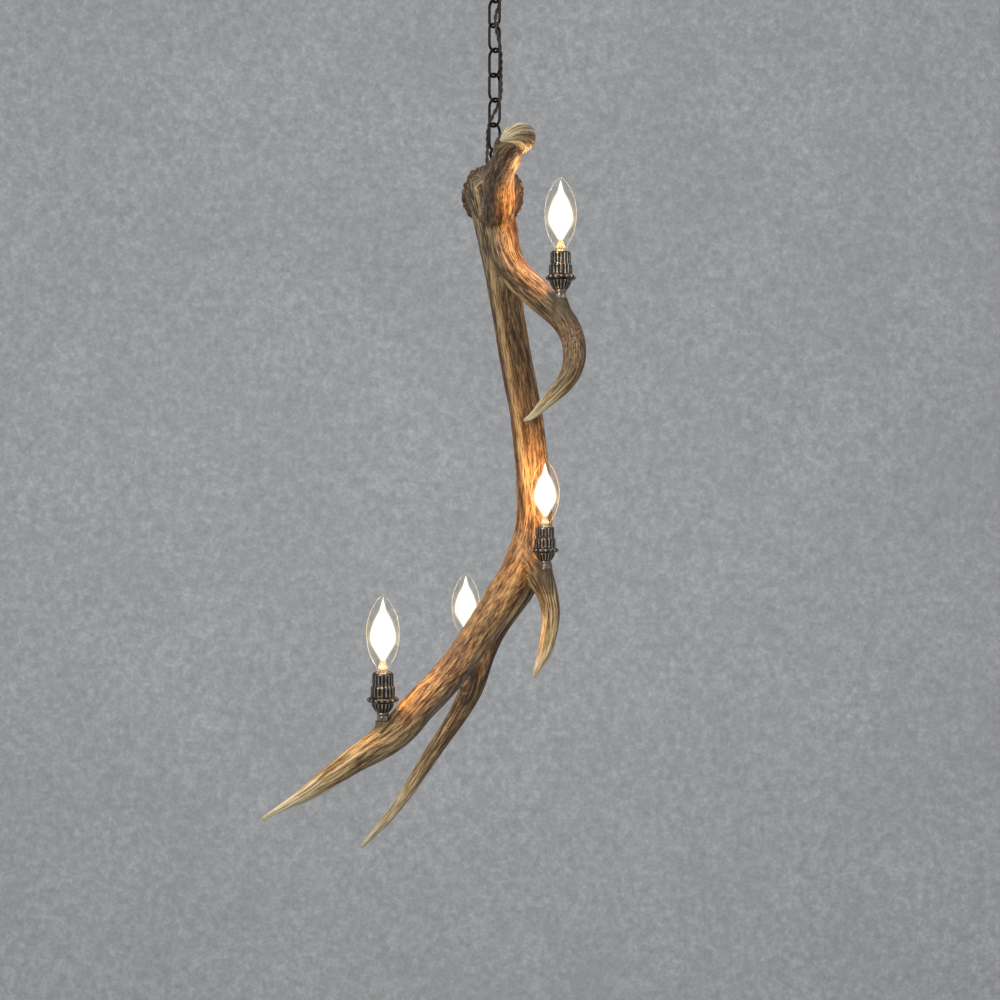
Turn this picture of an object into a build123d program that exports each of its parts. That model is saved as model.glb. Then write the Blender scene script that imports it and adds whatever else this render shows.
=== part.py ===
from build123d import *

import os
from math import cos, radians, sin, tan

# A single shed elk antler hung burr up on a short chain, with four upright candle sockets.
# Millimetres. The origin is the centre of the canopy where it meets the ceiling, +Z is up,
# and +Y points away from the viewer. The chain hangs on the Z axis.

os.makedirs("parts", exist_ok=True)

# ---- ceiling set -------------------------------------------------------------------------------
canopy_wall = 1.0
canopy_bead = 1.3
canopy_round_strap = 4.0
# the canopy's outline as (step in from its rim, drop below the ceiling), from the rim to the hub
canopy_steps = [(0.0, 0.0), (0.0, 2.7), (2.4, 9.0), (10.5, 16.6), (24.0, 22.4), (44.0, 26.0)]
strap_length = 104.0
strap_width = 19.0
strap_corner = 4.75
strap_wall = 2.0
strap_drop = 9.0
strap_middle = 46.0
strap_shoulder = 11.0
slot_spacing = 88.9
slot_width = 4.8
slot_length = 10.0
ground_screw_x = 17.0
ground_screw_radius = 1.9
ground_screw_length = 4.0
ground_head_radius = 3.6
ground_head_height = 2.4
ground_head_bevel = 0.8
nipple_radius = 5.0
nipple_bore = 3.4
nipple_length = 23.0
nipple_above_strap = 3.2
thread_gap = 0.1
nut_across_flats = 14.0
nut_height = 2.6
stem_radius = 7.0
stem_top = 18.0
shoulder_top = 34.2
shoulder_radius = 8.6
shoulder_length = 7.0
shoulder_foot_radius = 6.2
loop_wire = 4.4
loop_radius = 10.2
collar_radius = 11.5
collar_height = 7.2
collar_plain_height = 1.4
collar_grooves = 24
collar_groove_depth = 0.9
running_gap = 0.3
seat_gap = 0.2
connector_radius = 5.2
connector_mouth = 3.2
connector_length = 17.0
connector_height = -13.5
connector_start = 17.0
connector_grip = 8.0
core_radius = 1.0
core_spread = 1.15
core_crossing = -1.6
core_drop = 12.0

# ---- chain and lead ----------------------------------------------------------------------------
link_count = 7
link_wire = 3.2
link_width = 20.0
link_pitch = 29.0
link_turn = 45.0
chain_gap = 0.3
first_link_top = 54.0
eye_wire = 3.2
eye_radius = 6.5
eye_shank_radius = 2.0
eye_shank_length = 32.0
eye_point_length = 1.6
wire_sides = 8
lead_radius = 2.3
lead_bore = 2.6
lead_top = 7.6
lead_bend_share = 0.45
lead_below_shoulder = 1.0
# the lead's place beside each crossing of the chain, from the ceiling loop down to the eye
lead_offsets = [
    (7.6, 0.0), (7.6, 1.1), (0.4, -8.2), (7.8, 0.5), (7.4, 0.0), (8.2, -0.2), (-8.2, 0.4), (-7.8, -1.0),
]
lead_inside_second_link = (2.2, -2.4)
lead_hole = [(-9, -5, -272), (-8, 4, -304)]

# ---- sockets and bulbs -------------------------------------------------------------------------
# where each socket's neck stands on the antler: upper tine, crown fork, front branch, back branch
seats = [(72, -120, -449), (61, 62, -750), (-116, -173, -898), (-36, 104, -889)]
neck_height = 11.5
neck_wall = 1.1
neck_flare = 0.7
neck_collar_height = 1.0
neck_groove_depth = 0.5
neck_groove_height = 5.0
neck_groove_width = 1.2
bowl_height = 8.0
bowl_foot_step = 1.2
bowl_waist_radius = 10.9
bowl_waist_height = 3.0
bowl_rim_step = 0.6
cap_wall = 1.1
ring_height = 6.0
ring_proud = 3.4
ring_bevel = 1.6
bead_count = 16
bead_radius = 1.5
bead_proud = 0.5
lower_tier_height = 11.0
upper_tier_height = 12.0
tier_width = 1.6
tier_bevel = 0.6
shoulder_height = 3.0
shoulder_waist_radius = 10.1
shoulder_waist_height = 2.0
mouth_radius = 7.4
shell_wall = 1.2
flute_count = 18
flute_radius = 1.6
flute_depth = 0.7
flute_land = 1.4
socket_nipple_depth = 9.0
socket_nipple_rise = 9.0
set_screw_radius = 1.5
set_screw_length = 3.2
set_screw_height = 8.9
set_screw_turn = -50.0
insulator_foot_gap = 0.9
insulator_foot_height = 4.0
insulator_land = 1.9
insulator_bore = 2.5
liner_wall = 0.6
liner_gap = 0.7
liner_below_shoulder = 2.0
screw_shell_wall = 0.5
screw_shell_length = 15.5
screw_shell_bore = 3.2
contact_radius = 2.2
contact_thickness = 0.8
base_radius = 5.95
base_length = 13.0
base_bevel = 0.8
base_gap = 0.25
base_insulator_length = 3.2
base_insulator_radius = 4.9
button_radius = 2.3
button_height = 1.2
bulb_lift = 0.6
glass_height = 79.6
glass_radius = 17.5
glass_neck_radius = 6.5
glass_wall = 0.8
# the torpedo glass above its neck as (share of the largest radius, share of the height)
glass_outline = [(0.515, 0.10), (0.857, 0.264), (1.0, 0.471), (0.891, 0.704), (0.543, 0.862)]
filament_count = 4
filament_radius = 0.9
filament_length = 34.0
filament_foot_spread = 2.2
filament_top_spread = 5.2
filament_sunk = 1.0
filament_sides = 6
stem_glass_radius = 3.4
stem_glass_top_radius = 2.6
stem_glass_length = 21.0

# ---- antler ------------------------------------------------------------------------------------
# each branch is a line of (x, y, z, radius), from its root inside the beam out to its tip
beam = [
    (-2, 12, -311, 25.5), (-1, -13, -336, 25.0), (3, -28, -367, 22.5), (7, -30, -397, 20.2),
    (12, -16, -427, 19.1), (20, 12, -473, 19.0), (28, 37, -514, 19.3), (38, 69, -564, 19.8),
    (45, 99, -615, 20.7), (49, 114, -667, 21.8), (46, 117, -718, 24.5), (31, 112, -762, 26.5),
    (12, 124, -803, 20.0), (-10, 133, -848, 15.5), (-29, 130, -904, 14.3), (-47, 135, -938, 12.2),
    (-81, 154, -991, 10.2), (-117, 178, -1049, 8.1), (-148, 197, -1091, 6.2), (-175, 212, -1122, 2.4),
]
brow_tine = [
    (1, -8, -344, 18.0), (4, -42, -343, 18.8), (5, -75, -334, 18.0), (5, -113, -327, 17.0),
    (7, -163, -320, 15.6), (14, -213, -316, 15.0), (21, -253, -313, 14.6), (28, -283, -314, 12.4),
    (20, -305, -318, 9.3), (13, -315, -323, 6.0), (8, -321, -328, 2.4),
]
upper_tine = [
    (3, -36, -345, 19.0), (10, -44, -372, 17.6), (15, -49, -394, 17.5), (27, -55, -414, 17.2),
    (44, -77, -435, 16.8), (65, -103, -459, 14.8),
    (80, -115, -479, 13.7), (87, -125, -507, 12.5), (80, -133, -535, 11.0), (60, -138, -558, 7.9),
    (47, -143, -571, 5.2), (33, -148, -582, 2.2),
]
small_tine = [
    (44, 107, -739, 19.0), (55, 87, -759, 17.6), (64, 72, -781, 13.6), (68, 67, -803, 11.4),
    (66, 62, -827, 10.2), (61, 57, -849, 8.6), (53, 54, -867, 5.8), (48, 52, -879, 2.4),
]
front_branch = [
    (31, 107, -756, 22.0), (10, 67, -786, 22.6), (-12, 22, -816, 20.5), (-35, -33, -845, 18.8),
    (-59, -88, -871, 18.6), (-82, -138, -890, 18.2), (-108, -173, -914, 17.6), (-130, -198, -926, 14.9),
    (-165, -228, -946, 11.1), (-192, -248, -962, 7.4), (-225, -267, -979, 2.2),
]
tip_swell = 1.15
burr_centre = (-2, 15, -309)
burr_facing = (0, 0.93, 0.36)
burr_radius = 33.5
burr_root_radius = 25.0
burr_root_length = 30.0
burr_back = 9.0
burr_dish = 3.0
pearl_sides = 6
burr_seat_radius = 9.0
# the crowns of pearls round the burr: (place along its axis, thickness, pearls, pearl radius)
burr_crowns = [(-4.0, 4.5, 23, 3.6), (0.5, 5.0, 27, 4.2), (5.5, 3.5, 25, 3.2)]
# the moulded boss that each socket stands on: the centre and radius of its foot inside the antler
boss_feet = [(76, -117, -474, 12.4), (63, 68, -779, 12.2), (-112, -173, -914, 15.0), (-32, 127, -917, 9.5)]
boss_land = 1.4
spot_face_land = 0.8
spot_face_height = 14.0

# ---- places worked out from the sizes above ----------------------------------------------------
flat_turn = 180 / wire_sides
canopy_radius = strap_length / 2 + canopy_round_strap + canopy_wall
canopy_outline = [(canopy_radius - step, drop) for step, drop in canopy_steps]
canopy_bottom = -canopy_outline[-1][1]
strap_bottom = -strap_drop - strap_wall
nipple_top = -strap_drop + nipple_above_strap
nipple_bottom = nipple_top - nipple_length
link_length = link_pitch + link_wire + chain_gap
hub_hole_radius = stem_radius + running_gap
collar_top = canopy_bottom - seat_gap
shoulder_bottom = -shoulder_top - shoulder_length
nipple_hole_radius = nipple_radius + thread_gap
neck_radius = nipple_hole_radius + neck_wall
neck_top_radius = neck_radius + neck_flare
neck_groove_radius = neck_radius - neck_groove_depth
bowl_foot_radius = neck_radius + bowl_foot_step
boss_top_radius = neck_radius + boss_land
spot_face_radius = boss_top_radius + spot_face_land
screw_shell_radius = base_radius + base_gap
insulator_radius = screw_shell_radius + screw_shell_wall + insulator_land
liner_radius = insulator_radius + liner_gap + liner_wall
upper_tier_radius = liner_radius + thread_gap + shell_wall
lower_tier_radius = upper_tier_radius + tier_width
insulator_foot_radius = lower_tier_radius - shell_wall - insulator_foot_gap
bowl_rim_radius = lower_tier_radius - bowl_rim_step
ring_radius = lower_tier_radius + ring_proud
ring_bore = insulator_foot_radius + running_gap
bowl_top = neck_height + bowl_height
shell_bottom = bowl_top + ring_height
tier_step = shell_bottom + lower_tier_height
tier_top = tier_step + upper_tier_height
socket_height = tier_top + shoulder_height
glass_bottom = socket_height + bulb_lift
base_bottom = glass_bottom - base_length
base_insulator_bottom = base_bottom - base_insulator_length
button_bottom = base_insulator_bottom - button_height
insulator_bottom = bowl_top - cap_wall
insulator_step = bowl_top + insulator_foot_height
insulator_top = button_bottom - running_gap - contact_thickness


def link_bottom(number):
    """Height of the wire's centre at the bottom of a link."""
    return -first_link_top - link_length - (number - 1) * link_pitch


def link_plane(number, height=0.0):
    """The upright plane of a link, whose x runs across the link and y runs up."""
    turn = radians(link_turn if number % 2 else -link_turn)
    return Plane(origin=(0, 0, height), x_dir=(cos(turn), sin(turn), 0), z_dir=(sin(turn), -cos(turn), 0))


def ring_section(number, height):
    """A level plane across a ring of the chain, and the axis through the ring's centre."""
    upright = link_plane(number, height)
    across = Plane(origin=upright.origin, x_dir=upright.x_dir, z_dir=(0, 0, 1))
    return across, Axis(upright.origin, upright.z_dir)


def hung(upper_height, upper_wire, lower_wire):
    """Height of the lower wire's centre where it rests on the upper one inside its bend."""
    return upper_height + (upper_wire + lower_wire) / 2 + chain_gap


loop_bottom = link_bottom(1) + link_length - (loop_wire + link_wire) / 2 - chain_gap
loop_centre = loop_bottom + loop_radius
eye_top = hung(link_bottom(link_count), link_wire, eye_wire)
eye_centre = eye_top - eye_radius
crossing_lift = (link_wire + chain_gap) / 2


def seat_plane(seat, height=0.0):
    """A level plane at a height above a socket's seat."""
    x, y, z = seat
    return Plane(origin=(x, y, z + height))


def seat_profile(seat):
    """An upright plane through a socket's axis: x is the radius and y the height above the seat."""
    return Plane(origin=seat, x_dir=(1, 0, 0), z_dir=(0, -1, 0))


def seat_axis(seat):
    return Axis(seat, (0, 0, 1))


def square_planes(points):
    """A plane square to a branch's line at each of its points, with that point's radius."""
    last = len(points) - 1
    for index, (x, y, z, radius) in enumerate(points):
        before = Vector(*points[max(index - 1, 0)][:3])
        after = Vector(*points[min(index + 1, last)][:3])
        along = (after - before).normalized()
        yield Plane(origin=(x, y, z), x_dir=along.cross(Vector(1, 0, 0)), z_dir=along), radius


def corner_radii(points):
    """The largest arc that each corner of a route leaves room for."""
    radii = []
    for before, corner, after in zip(points, points[1:], points[2:]):
        into = Vector(*corner) - Vector(*before)
        out = Vector(*after) - Vector(*corner)
        shorter = min(into.length, out.length)
        radii.append(lead_bend_share * shorter / tan(radians(into.get_angle(out)) / 2))
    return radii


def canopy_points(wall):
    """The canopy's outline from its rim down to the chain's axis, drawn in by a wall."""
    points = [(radius - wall, min(wall - drop, 0)) for radius, drop in canopy_outline]
    return [*points, (0, points[-1][1]), (0, 0)]


def glass_points(inset):
    """The outside of the glass from its neck up to its tip, or its inside when drawn in by its wall."""
    radius = glass_radius - inset
    foot = glass_bottom + inset
    height = glass_height - 2 * inset
    shoulders = [(radius * across, foot + height * up) for across, up in glass_outline]
    return [(0, foot), (glass_neck_radius - inset, foot), *shoulders, (0, foot + height)]


# ---- ceiling set -------------------------------------------------------------------------------
with BuildPart() as canopy:
    with BuildSketch(Plane.XZ):
        with BuildLine():
            Polyline(*canopy_points(0), close=True)
        make_face()
        with Locations((canopy_outline[0][0], -canopy_bead)):
            RegularPolygon(canopy_bead, wire_sides, major_radius=False, rotation=flat_turn)
    revolve(axis=Axis.Z)
    with BuildSketch(Plane.XZ):
        with BuildLine():
            Polyline(*canopy_points(canopy_wall), close=True)
        make_face()
    revolve(axis=Axis.Z, mode=Mode.SUBTRACT)
    with BuildSketch(Plane.XY.offset(canopy_bottom)):
        Circle(hub_hole_radius)
    extrude(amount=canopy_wall, mode=Mode.SUBTRACT)
canopy.part.label = "canopy"
export_step(canopy.part, "parts/canopy.step")

with BuildPart() as crossbar:
    with BuildSketch(Plane.XZ.offset(-strap_width / 2)):
        with BuildLine():
            half = strap_length / 2
            flat = strap_middle / 2
            knee = flat + strap_shoulder
            lean = strap_wall / 2
            Polyline(
                (-half, 0), (-knee, 0), (-flat, -strap_drop), (flat, -strap_drop), (knee, 0), (half, 0),
                (half, -strap_wall), (knee - lean, -strap_wall), (flat + lean, strap_bottom),
                (-flat - lean, strap_bottom), (-knee + lean, -strap_wall), (-half, -strap_wall), close=True,
            )
        make_face()
    extrude(amount=strap_width)
    fillet(crossbar.edges().filter_by(Axis.Z), radius=strap_corner)
    with BuildSketch(Plane.XY):
        with Locations((-slot_spacing / 2, 0), (slot_spacing / 2, 0)):
            SlotOverall(slot_length, slot_width)
        Circle(nipple_hole_radius)
        with Locations((ground_screw_x, 0)):
            Circle(ground_screw_radius + thread_gap)
    extrude(amount=strap_bottom, mode=Mode.SUBTRACT)
crossbar.part.label = "crossbar"
export_step(crossbar.part, "parts/crossbar.step")

with BuildPart() as ground_screw:
    with BuildSketch(Plane.XY.offset(strap_bottom)):
        with Locations((ground_screw_x, 0)):
            Circle(ground_head_radius)
    extrude(amount=-ground_head_height)
    chamfer(ground_screw.faces().sort_by(Axis.Z)[0].edges(), length=ground_head_bevel)
    with BuildSketch(Plane.XY.offset(strap_bottom)):
        with Locations((ground_screw_x, 0)):
            Circle(ground_screw_radius)
    extrude(amount=ground_screw_length)
ground_screw.part.label = "ground_screw"
export_step(ground_screw.part, "parts/ground_screw.step")

with BuildPart() as ceiling_nipple:
    with BuildSketch(Plane.XY.offset(nipple_top)):
        Circle(nipple_radius)
        Circle(nipple_bore, mode=Mode.SUBTRACT)
    extrude(amount=-nipple_length)
ceiling_nipple.part.label = "ceiling_nipple"
export_step(ceiling_nipple.part, "parts/ceiling_nipple.step")

with BuildPart() as locknuts:
    for height in (-strap_drop + nut_height, strap_bottom):
        with BuildSketch(Plane.XY.offset(height)):
            RegularPolygon(nut_across_flats / 2, 6, major_radius=False)
            Circle(nipple_radius + thread_gap, mode=Mode.SUBTRACT)
        extrude(amount=-nut_height)
locknuts.part.label = "locknuts"
export_step(locknuts.part, "parts/locknuts.step")

with BuildPart() as ceiling_loop:
    with BuildSketch(Plane.XZ):
        with BuildLine():
            Polyline(
                (0, -stem_top), (stem_radius, -stem_top), (stem_radius, -shoulder_top),
                (shoulder_radius, -shoulder_top), (shoulder_radius, -shoulder_top - shoulder_length / 2),
                (shoulder_foot_radius, shoulder_bottom), (0, shoulder_bottom), close=True,
            )
        make_face()
    revolve(axis=Axis.Z)
    section, ring_axis = ring_section(0, loop_centre)
    with BuildSketch(section):
        with Locations((loop_radius, 0)):
            RegularPolygon(loop_wire / 2, wire_sides, major_radius=False, rotation=flat_turn)
    revolve(axis=ring_axis)
    with BuildSketch(Plane.XY.offset(-stem_top)):
        Circle(nipple_hole_radius)
    extrude(amount=nipple_bottom - seat_gap + stem_top, mode=Mode.SUBTRACT)
    with BuildSketch(Plane.XY.offset(-stem_top)):
        Circle(nipple_bore)
    extrude(amount=shoulder_bottom - loop_wire / 2 + stem_top, mode=Mode.SUBTRACT)
ceiling_loop.part.label = "ceiling_loop"
export_step(ceiling_loop.part, "parts/ceiling_loop.step")

with BuildPart() as collar_ring:
    with BuildSketch(Plane.XY.offset(collar_top)):
        Circle(collar_radius)
        with PolarLocations(collar_radius, collar_grooves):
            RegularPolygon(collar_groove_depth, 4, mode=Mode.SUBTRACT)
        Circle(hub_hole_radius, mode=Mode.SUBTRACT)
    extrude(amount=-collar_height)
    with BuildSketch(Plane.XY.offset(collar_top)):
        Circle(collar_radius)
        Circle(hub_hole_radius, mode=Mode.SUBTRACT)
    extrude(amount=-collar_plain_height)
collar_ring.part.label = "collar_ring"
export_step(collar_ring.part, "parts/collar_ring.step")

# two supply cores leave the lead above the strap and end in twist-on connectors beside it
with BuildPart() as wire_connectors:
    for side in (-1, 1):
        start = Plane(origin=(0, side * connector_start, connector_height), z_dir=(0, side, 0))
        with Locations(start):
            Cone(
                connector_radius, connector_mouth, connector_length,
                align=(Align.CENTER, Align.CENTER, Align.MIN),
            )
        with BuildSketch(start):
            Circle(core_radius + thread_gap)
        extrude(amount=connector_grip + seat_gap, mode=Mode.SUBTRACT)
wire_connectors.part.label = "wire_connectors"
export_step(wire_connectors.part, "parts/wire_connectors.step")

with BuildPart() as supply_cores:
    for side in (-1, 1):
        route = [
            (0, side * core_spread, -lead_top), (0, side * core_spread, core_crossing),
            (0, side * core_drop, core_crossing), (0, side * core_drop, connector_height),
            (0, side * (connector_start + connector_grip), connector_height),
        ]
        with BuildLine() as core_route:
            Polyline(*route)
        with BuildSketch(Plane(origin=route[0], z_dir=(0, 0, 1))):
            RegularPolygon(core_radius, wire_sides, major_radius=False, rotation=flat_turn)
        sweep(path=core_route.line, transition=Transition.RIGHT)
supply_cores.part.label = "supply_cores"
export_step(supply_cores.part, "parts/supply_cores.step")

# ---- chain -------------------------------------------------------------------------------------
for number in range(1, link_count + 1):
    with BuildPart() as link:
        half = (link_width - link_wire) / 2
        bottom = link_bottom(number)
        top = bottom + link_length
        with BuildLine(link_plane(number)) as oval:
            Line((half, bottom + half), (half, top - half))
            ThreePointArc((half, top - half), (0, top), (-half, top - half))
            Line((-half, top - half), (-half, bottom + half))
            ThreePointArc((-half, bottom + half), (0, bottom), (half, bottom + half))
        across = Plane(origin=oval.line @ 0, x_dir=link_plane(number).x_dir, z_dir=oval.line % 0)
        with BuildSketch(across):
            RegularPolygon(link_wire / 2, wire_sides, major_radius=False, rotation=flat_turn)
        sweep(path=oval.line)
    link.part.label = f"link_{number}"
    export_step(link.part, f"parts/link_{number}.step")

lead_route = [(0, 0, -lead_top), (0, 0, shoulder_bottom - lead_below_shoulder)]
for crossing, (x, y) in enumerate(lead_offsets):
    height = (link_bottom(crossing) if crossing else loop_bottom) + crossing_lift
    lead_route.append((x, y, height))
    if crossing == 1:
        lead_route.append((*lead_inside_second_link, height - link_pitch / 2))
lead_route.extend(lead_hole)
lead_bends = corner_radii(lead_route)
print("lead bend radii", [round(bend, 1) for bend in lead_bends])

with BuildPart() as supply_lead:
    with BuildLine() as lead_line:
        FilletPolyline(*lead_route, radius=lead_bends)
    with BuildSketch(Plane(origin=lead_line.line @ 0, z_dir=lead_line.line % 0)):
        RegularPolygon(lead_radius, wire_sides, major_radius=False, rotation=flat_turn)
    sweep(path=lead_line.line)
supply_lead.part.label = "supply_lead"
export_step(supply_lead.part, "parts/supply_lead.step")
lead_length = sum(edge.length for edge in lead_line.line.edges())
print("lead length", round(lead_length, 1), "volume", round(supply_lead.part.volume, 1))

with BuildPart() as screw_eye:
    section, ring_axis = ring_section(link_count + 1, eye_centre)
    with BuildSketch(section):
        with Locations((eye_radius, 0)):
            RegularPolygon(eye_wire / 2, wire_sides, major_radius=False, rotation=flat_turn)
    revolve(axis=ring_axis)
    with BuildSketch(Plane.XY.offset(eye_centre - eye_radius)):
        Circle(eye_shank_radius)
    extrude(amount=-eye_shank_length)
    chamfer(screw_eye.faces().sort_by(Axis.Z)[0].edges(), length=eye_point_length)
screw_eye.part.label = "screw_eye"
export_step(screw_eye.part, "parts/screw_eye.step")

# ---- antler ------------------------------------------------------------------------------------
burr_plane = Plane(origin=burr_centre, x_dir=(1, 0, 0), z_dir=burr_facing)
burr_upright = Plane(origin=burr_centre, x_dir=(1, 0, 0), z_dir=burr_plane.y_dir * -1)

with BuildPart() as antler:
    for branch in (beam, brow_tine, upper_tine, small_tine, front_branch):
        for plane, radius in square_planes(branch):
            with BuildSketch(plane):
                Circle(radius)
        loft()
        *tip, tip_radius = branch[-1]
        with Locations(tuple(tip)):
            Sphere(tip_radius * tip_swell)
    # the burr: the beam flares into a rim with a dished seat behind it, ringed with crowns of pearls
    with BuildSketch(burr_upright):
        with BuildLine():
            Polyline(
                (0, -burr_root_length), (burr_root_radius, -burr_root_length), (burr_radius, burr_crowns[0][0]),
                (burr_radius, burr_crowns[-1][0]), (burr_radius, burr_back),
                (burr_seat_radius, burr_dish), (0, burr_dish), close=True,
            )
        make_face()
    revolve(axis=Axis(burr_centre, burr_facing))
    for place, thickness, pearl_count, pearl_radius in burr_crowns:
        with BuildSketch(burr_plane.offset(place)):
            Circle(burr_radius)
            with PolarLocations(burr_radius, pearl_count):
                RegularPolygon(pearl_radius, pearl_sides)
            Circle(burr_radius - pearl_radius, mode=Mode.SUBTRACT)
        extrude(amount=thickness)
    # the bosses under the sockets
    for seat, (x, y, z, radius) in zip(seats, boss_feet):
        with BuildSketch(seat_plane(seat)):
            Circle(boss_top_radius)
        with BuildSketch(Plane(origin=(x, y, z))):
            Circle(radius)
        loft()
        with BuildSketch(seat_plane(seat)):
            Circle(spot_face_radius)
        extrude(amount=spot_face_height, mode=Mode.SUBTRACT)
        with BuildSketch(seat_plane(seat)):
            Circle(nipple_hole_radius)
        extrude(amount=-socket_nipple_depth - seat_gap, mode=Mode.SUBTRACT)
    # the holes for the eye's shank and for the lead
    with BuildSketch(Plane.XY.offset(eye_centre - eye_radius)):
        Circle(eye_shank_radius + thread_gap)
    extrude(amount=-eye_shank_length - seat_gap, mode=Mode.SUBTRACT)
    hole_run = Vector(*lead_hole[1]) - Vector(*lead_hole[0])
    with BuildSketch(Plane(origin=lead_hole[0], z_dir=hole_run.normalized())):
        Circle(lead_bore)
    extrude(amount=hole_run.length + seat_gap, mode=Mode.SUBTRACT)
antler.part.label = "antler"
export_step(antler.part, "parts/antler.step")

# ---- sockets: each node holds the same piece on all four seats -----------------------------------
with BuildPart() as socket_caps:
    for seat in seats:
        bore = nipple_hole_radius
        groove_top = neck_groove_height + neck_groove_width
        with BuildSketch(seat_profile(seat)):
            with BuildLine():
                Polyline(
                    (bore, 0), (neck_radius, 0), (neck_radius, neck_groove_height),
                    (neck_groove_radius, neck_groove_height + neck_groove_width / 2),
                    (neck_radius, groove_top), (neck_top_radius, neck_height - neck_collar_height),
                    (neck_radius, neck_height), (bowl_foot_radius, neck_height),
                    (bowl_waist_radius, neck_height + bowl_waist_height), (bowl_rim_radius, bowl_top),
                    (bowl_rim_radius - cap_wall, bowl_top),
                    (bowl_waist_radius - cap_wall, neck_height + bowl_waist_height + cap_wall / 2),
                    (bowl_foot_radius - cap_wall, neck_height + cap_wall), (bore, neck_height + cap_wall),
                    close=True,
                )
            make_face()
        revolve(axis=seat_axis(seat))
        with BuildSketch(seat_plane(seat, set_screw_height).rotated((0, 90, set_screw_turn))):
            Circle(set_screw_radius + thread_gap)
        extrude(amount=neck_top_radius * 2, mode=Mode.SUBTRACT)
socket_caps.part.label = "socket_caps"
export_step(socket_caps.part, "parts/socket_caps.step")

with BuildPart() as socket_rings:
    for seat in seats:
        with BuildSketch(seat_profile(seat)):
            with BuildLine():
                Polyline(
                    (ring_bore, bowl_top), (ring_radius - ring_bevel * 2, bowl_top),
                    (ring_radius, bowl_top + ring_bevel), (ring_radius, shell_bottom - ring_bevel),
                    (ring_radius - ring_bevel * 2, shell_bottom), (ring_bore, shell_bottom), close=True,
                )
            make_face()
        revolve(axis=seat_axis(seat))
        middle = seat_plane(seat, bowl_top + ring_height / 2)
        for index in range(bead_count):
            turn = radians(index * 360 / bead_count)
            facing = Plane(origin=middle.origin, z_dir=(cos(turn), sin(turn), 0))
            with BuildSketch(facing.offset(ring_radius - ring_bevel)):
                RegularPolygon(bead_radius, wire_sides, rotation=flat_turn)
            extrude(amount=ring_bevel + bead_proud)
socket_rings.part.label = "socket_rings"
export_step(socket_rings.part, "parts/socket_rings.step")

with BuildPart() as socket_shells:
    for seat in seats:
        inner_lower = lower_tier_radius - shell_wall
        inner_upper = upper_tier_radius - shell_wall
        with BuildSketch(seat_profile(seat)):
            with BuildLine():
                Polyline(
                    (inner_lower, shell_bottom), (lower_tier_radius, shell_bottom),
                    (lower_tier_radius, tier_step - tier_bevel), (upper_tier_radius, tier_step),
                    (upper_tier_radius, tier_top), (shoulder_waist_radius, tier_top + shoulder_waist_height),
                    (mouth_radius, socket_height), (mouth_radius, socket_height - shell_wall),
                    (inner_upper, tier_top - shell_wall / 2), (inner_upper, tier_step - shell_wall),
                    (inner_lower, tier_step - tier_bevel - shell_wall), close=True,
                )
            make_face()
        revolve(axis=seat_axis(seat))
        for foot, height, radius in (
            (shell_bottom, lower_tier_height, lower_tier_radius),
            (tier_step, upper_tier_height, upper_tier_radius),
        ):
            with BuildSketch(seat_plane(seat, foot + flute_land)):
                with PolarLocations(radius + flute_radius - flute_depth, flute_count):
                    RegularPolygon(flute_radius, 6)
            extrude(amount=height - 2 * flute_land, mode=Mode.SUBTRACT)
socket_shells.part.label = "socket_shells"
export_step(socket_shells.part, "parts/socket_shells.step")

with BuildPart() as socket_nipples:
    for seat in seats:
        with BuildSketch(seat_plane(seat, -socket_nipple_depth)):
            Circle(nipple_radius)
            Circle(nipple_bore, mode=Mode.SUBTRACT)
        extrude(amount=socket_nipple_depth + socket_nipple_rise)
socket_nipples.part.label = "socket_nipples"
export_step(socket_nipples.part, "parts/socket_nipples.step")

with BuildPart() as set_screws:
    for seat in seats:
        facing = seat_plane(seat, set_screw_height).rotated((0, 90, set_screw_turn))
        with BuildSketch(facing.offset(nipple_hole_radius)):
            Circle(set_screw_radius)
        extrude(amount=set_screw_length)
set_screws.part.label = "set_screws"
export_step(set_screws.part, "parts/set_screws.step")

with BuildPart() as socket_insulators:
    for seat in seats:
        with BuildSketch(seat_profile(seat)):
            with BuildLine():
                Polyline(
                    (insulator_bore, insulator_bottom), (insulator_foot_radius, bowl_top),
                    (insulator_foot_radius, insulator_step), (insulator_radius, insulator_step),
                    (insulator_radius, insulator_top), (insulator_bore, insulator_top), close=True,
                )
            make_face()
        revolve(axis=seat_axis(seat))
socket_insulators.part.label = "socket_insulators"
export_step(socket_insulators.part, "parts/socket_insulators.step")

with BuildPart() as screw_shells:
    for seat in seats:
        outer = screw_shell_radius + screw_shell_wall
        with BuildSketch(seat_profile(seat)):
            with BuildLine():
                Polyline(
                    (screw_shell_bore, insulator_top), (outer, insulator_top),
                    (outer, insulator_top + screw_shell_length),
                    (screw_shell_radius, insulator_top + screw_shell_length),
                    (screw_shell_radius, insulator_top + screw_shell_wall),
                    (screw_shell_bore, insulator_top + screw_shell_wall), close=True,
                )
            make_face()
        revolve(axis=seat_axis(seat))
screw_shells.part.label = "screw_shells"
export_step(screw_shells.part, "parts/screw_shells.step")

with BuildPart() as centre_contacts:
    for seat in seats:
        with BuildSketch(seat_plane(seat, insulator_top - contact_thickness)):
            Circle(contact_radius)
        extrude(amount=contact_thickness * 2)
centre_contacts.part.label = "centre_contacts"
export_step(centre_contacts.part, "parts/centre_contacts.step")

with BuildPart() as socket_liners:
    for seat in seats:
        with BuildSketch(seat_plane(seat, insulator_step)):
            Circle(liner_radius)
            Circle(liner_radius - liner_wall, mode=Mode.SUBTRACT)
        extrude(amount=tier_top - liner_below_shoulder - insulator_step)
socket_liners.part.label = "socket_liners"
export_step(socket_liners.part, "parts/socket_liners.step")

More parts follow.
